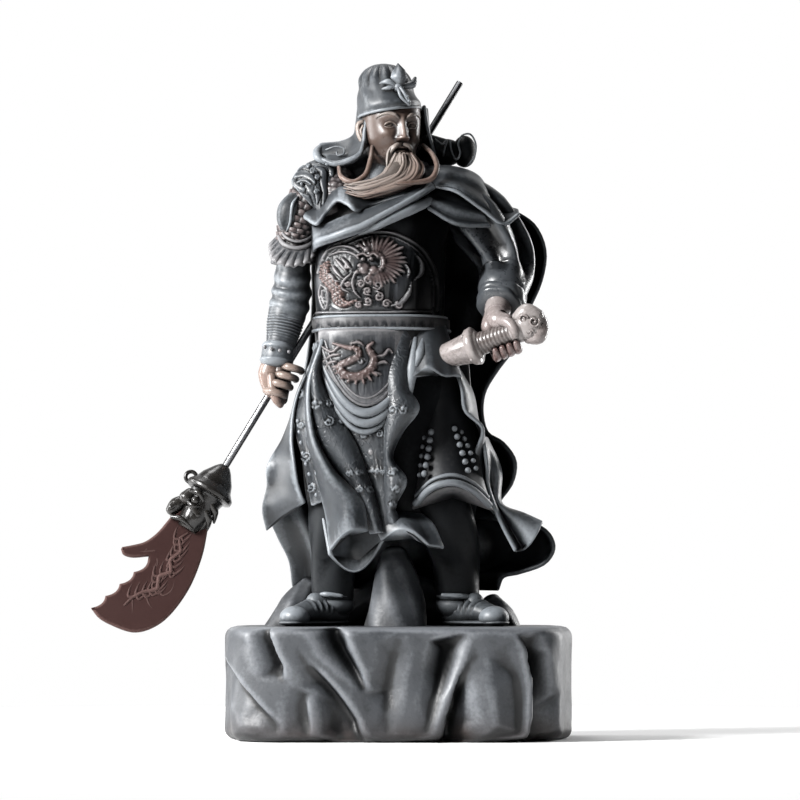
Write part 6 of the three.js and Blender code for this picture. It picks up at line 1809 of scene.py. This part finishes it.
# %% [markdown]
# ## One mesh a piece
# All skins of a piece go into one mesh. `proud` is measured on it: the mesh is relaxed a little, and
# what then lies inside the first surface stood proud, as on a raised edge, and what lies outside it was
# a hollow.

# %% Join the skins
def proud_of(points, edges, normals, rounds=9):
    """How far each point stands out of the relaxed mesh: 0.4 is level, 1 is about 0.5 mm out."""
    relaxed = points.copy()
    count = np.bincount(edges.ravel(), minlength=len(points))[:, None]
    for _ in range(rounds):
        total = np.zeros_like(relaxed)
        for c in range(3):
            total[:, c] = (np.bincount(edges[:, 0], relaxed[edges[:, 1], c], len(points))
                           + np.bincount(edges[:, 1], relaxed[edges[:, 0], c], len(points)))
        relaxed = 0.4 * relaxed + 0.6 * total / np.maximum(count, 1)
    out = ((points - relaxed) * normals).sum(1)
    return np.clip(0.4 + out / 0.9, 0, 1)


most_triangles = 192000


def make_piece(name, forms, finish_names, node):
    points = np.vstack([form.points for form in forms]) * MM
    starts = np.cumsum([0] + [len(form.points) for form in forms[:-1]])
    loops, lengths, uvs, slots = [], [], [], []
    for form, start in zip(forms, starts):
        slot = finish_names.index(form.finish)
        for faces, uv in zip(form.faces, form.corner_uv):
            if len(faces):
                loops.append((faces + start).ravel())
                lengths.append(np.full(len(faces), faces.shape[1]))
                uvs.append(uv.reshape(-1, 2))
                slots.append(np.full(len(faces), slot))
    loops, lengths = np.concatenate(loops), np.concatenate(lengths)
    uvs, slots = np.vstack(uvs), np.concatenate(slots)
    begin = np.concatenate([[0], np.cumsum(lengths)[:-1]])
    mesh = bpy.data.meshes.new(name)
    mesh.vertices.add(len(points))
    mesh.vertices.foreach_set("co", points.ravel())
    mesh.loops.add(len(loops))
    mesh.loops.foreach_set("vertex_index", loops)
    mesh.polygons.add(len(lengths))
    for kind, values in (("loop_start", begin), ("loop_total", lengths), ("material_index", slots)):
        mesh.polygons.foreach_set(kind, values)
    mesh.update(calc_edges=True)
    mesh.validate()
    mesh.polygons.foreach_set("use_smooth", np.ones(len(mesh.polygons), bool))
    cloth_map = mesh.uv_layers.new(name="cloth")
    if len(mesh.loops) == len(uvs):
        cloth_map.data.foreach_set("uv", uvs.ravel())
    edges = np.zeros(2 * len(mesh.edges), int)
    mesh.edges.foreach_get("vertices", edges)
    normals = np.zeros(3 * len(points))
    mesh.vertices.foreach_get("normal", normals)
    proud = proud_of(points / MM, edges.reshape(-1, 2), normals.reshape(-1, 3))
    rub = np.clip(np.concatenate([form.rub for form in forms]), -1, 1)
    for kind, values in (("proud", proud), ("rub", rub)):
        mesh.attributes.new(kind, "FLOAT", "POINT").data.foreach_set("value", values)
    for finish_name in finish_names:
        mesh.materials.append(finishes[finish_name])
    piece = bpy.data.objects.new(name, mesh)
    bpy.context.scene.collection.objects.link(piece)
    triangles = int((lengths - 2).sum())
    print(name, "triangles as modelled:", triangles)
    if triangles > most_triangles:
        thinner = piece.modifiers.new("thinner", "DECIMATE")
        thinner.ratio = most_triangles / triangles
        flatter = piece.evaluated_get(bpy.context.evaluated_depsgraph_get())
        piece.data = bpy.data.meshes.new_from_object(flatter)
        piece.modifiers.clear()
        bpy.data.meshes.remove(mesh)
        piece.data.name = name
    piece.data.calc_loop_triangles()
    print(name, "triangles:", len(piece.data.loop_triangles))
    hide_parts(node)
    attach(piece, "root")
    return piece


# %% The bright rod's finish
rod_finish = bpy.data.materials.new("bright_rod")
rod_finish.use_nodes = True
rod_tree = rod_finish.node_tree
rod_skin = rod_tree.nodes["Principled BSDF"]
rod_skin.inputs["Metallic"].default_value = 0.6
# Painted reflections: long dark and bright lines placed by the side of the rod
rod_side = wire(rod_tree, "ShaderNodeAttribute", attribute_name="rub").outputs["Fac"]
rod_tone_with_reflections = (0.5, 0.51, 0.53)
for low, high, colour in ((-0.02, 0.12, (0.075, 0.075, 0.08)), (-0.5, -0.66, (0.008, 0.008, 0.009)),
                          (0.7, 0.84, (0.008, 0.008, 0.009))):
    rod_tone_with_reflections = blend_colour(rod_tree, ramp(rod_tree, rod_side, low, high), rod_tone_with_reflections, colour)
rod_tree.links.new(rod_tone_with_reflections, rod_skin.inputs["Base Color"])
rod_where = wire(rod_tree, "ShaderNodeTexCoord").outputs["Object"]
rod_marks = wire(rod_tree, "ShaderNodeTexNoise", {"Vector": rod_where, "Scale": 260.0}).outputs[0]
rod_tree.links.new(ramp(rod_tree, rod_marks, 0.3, 0.7, 0.24, 0.28), rod_skin.inputs["Roughness"])
finishes["rod"] = rod_finish

# %% Make the pieces
make_piece("warrior_figure", figure_forms,
           ["robe", "embroidered", "sleeve", "armour", "skin", "beard", "hilt"], "figure")
make_piece("carved_rock", rock_forms, ["rock"], "rock_base")
make_piece("steel_rod", rod_forms, ["rod"], "polearm_shaft")
make_piece("beast_socket", socket_forms, ["socket"], "polearm_dragon_socket")
blade = make_piece("carved_blade", blade_forms, ["blade"], "polearm_blade")
# The blade's two broad faces are flat: flat shading, and one value of proud all round each
flat_proud = 0.46
blade.data.polygons.foreach_set("use_smooth", [len(face.vertices) > 3 for face in blade.data.polygons])
blade_proud = np.zeros(len(blade.data.vertices))
blade.data.attributes["proud"].data.foreach_get("value", blade_proud)
blade_proud[:blade_count] = flat_proud
blade_proud[len(blade_points) - blade_count:len(blade_points)] = flat_proud
blade.data.attributes["proud"].data.foreach_set("value", blade_proud)

# %% [markdown]
# ## Check the size
# The dressed statue must stay within the CAD part's box. The boxes are compared, and how far it reaches
# past each side is printed.

# %% Compare the boxes
bpy.context.view_layer.update()
shown_box = [list(corner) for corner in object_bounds()]
for low, high, axis in zip(np.subtract(shown_box[0], cad_box[0]), np.subtract(shown_box[1], cad_box[1]),
                           "xyz"):
    print("past the CAD box along", axis, "in mm:", round(-low * 1000, 1), round(high * 1000, 1))
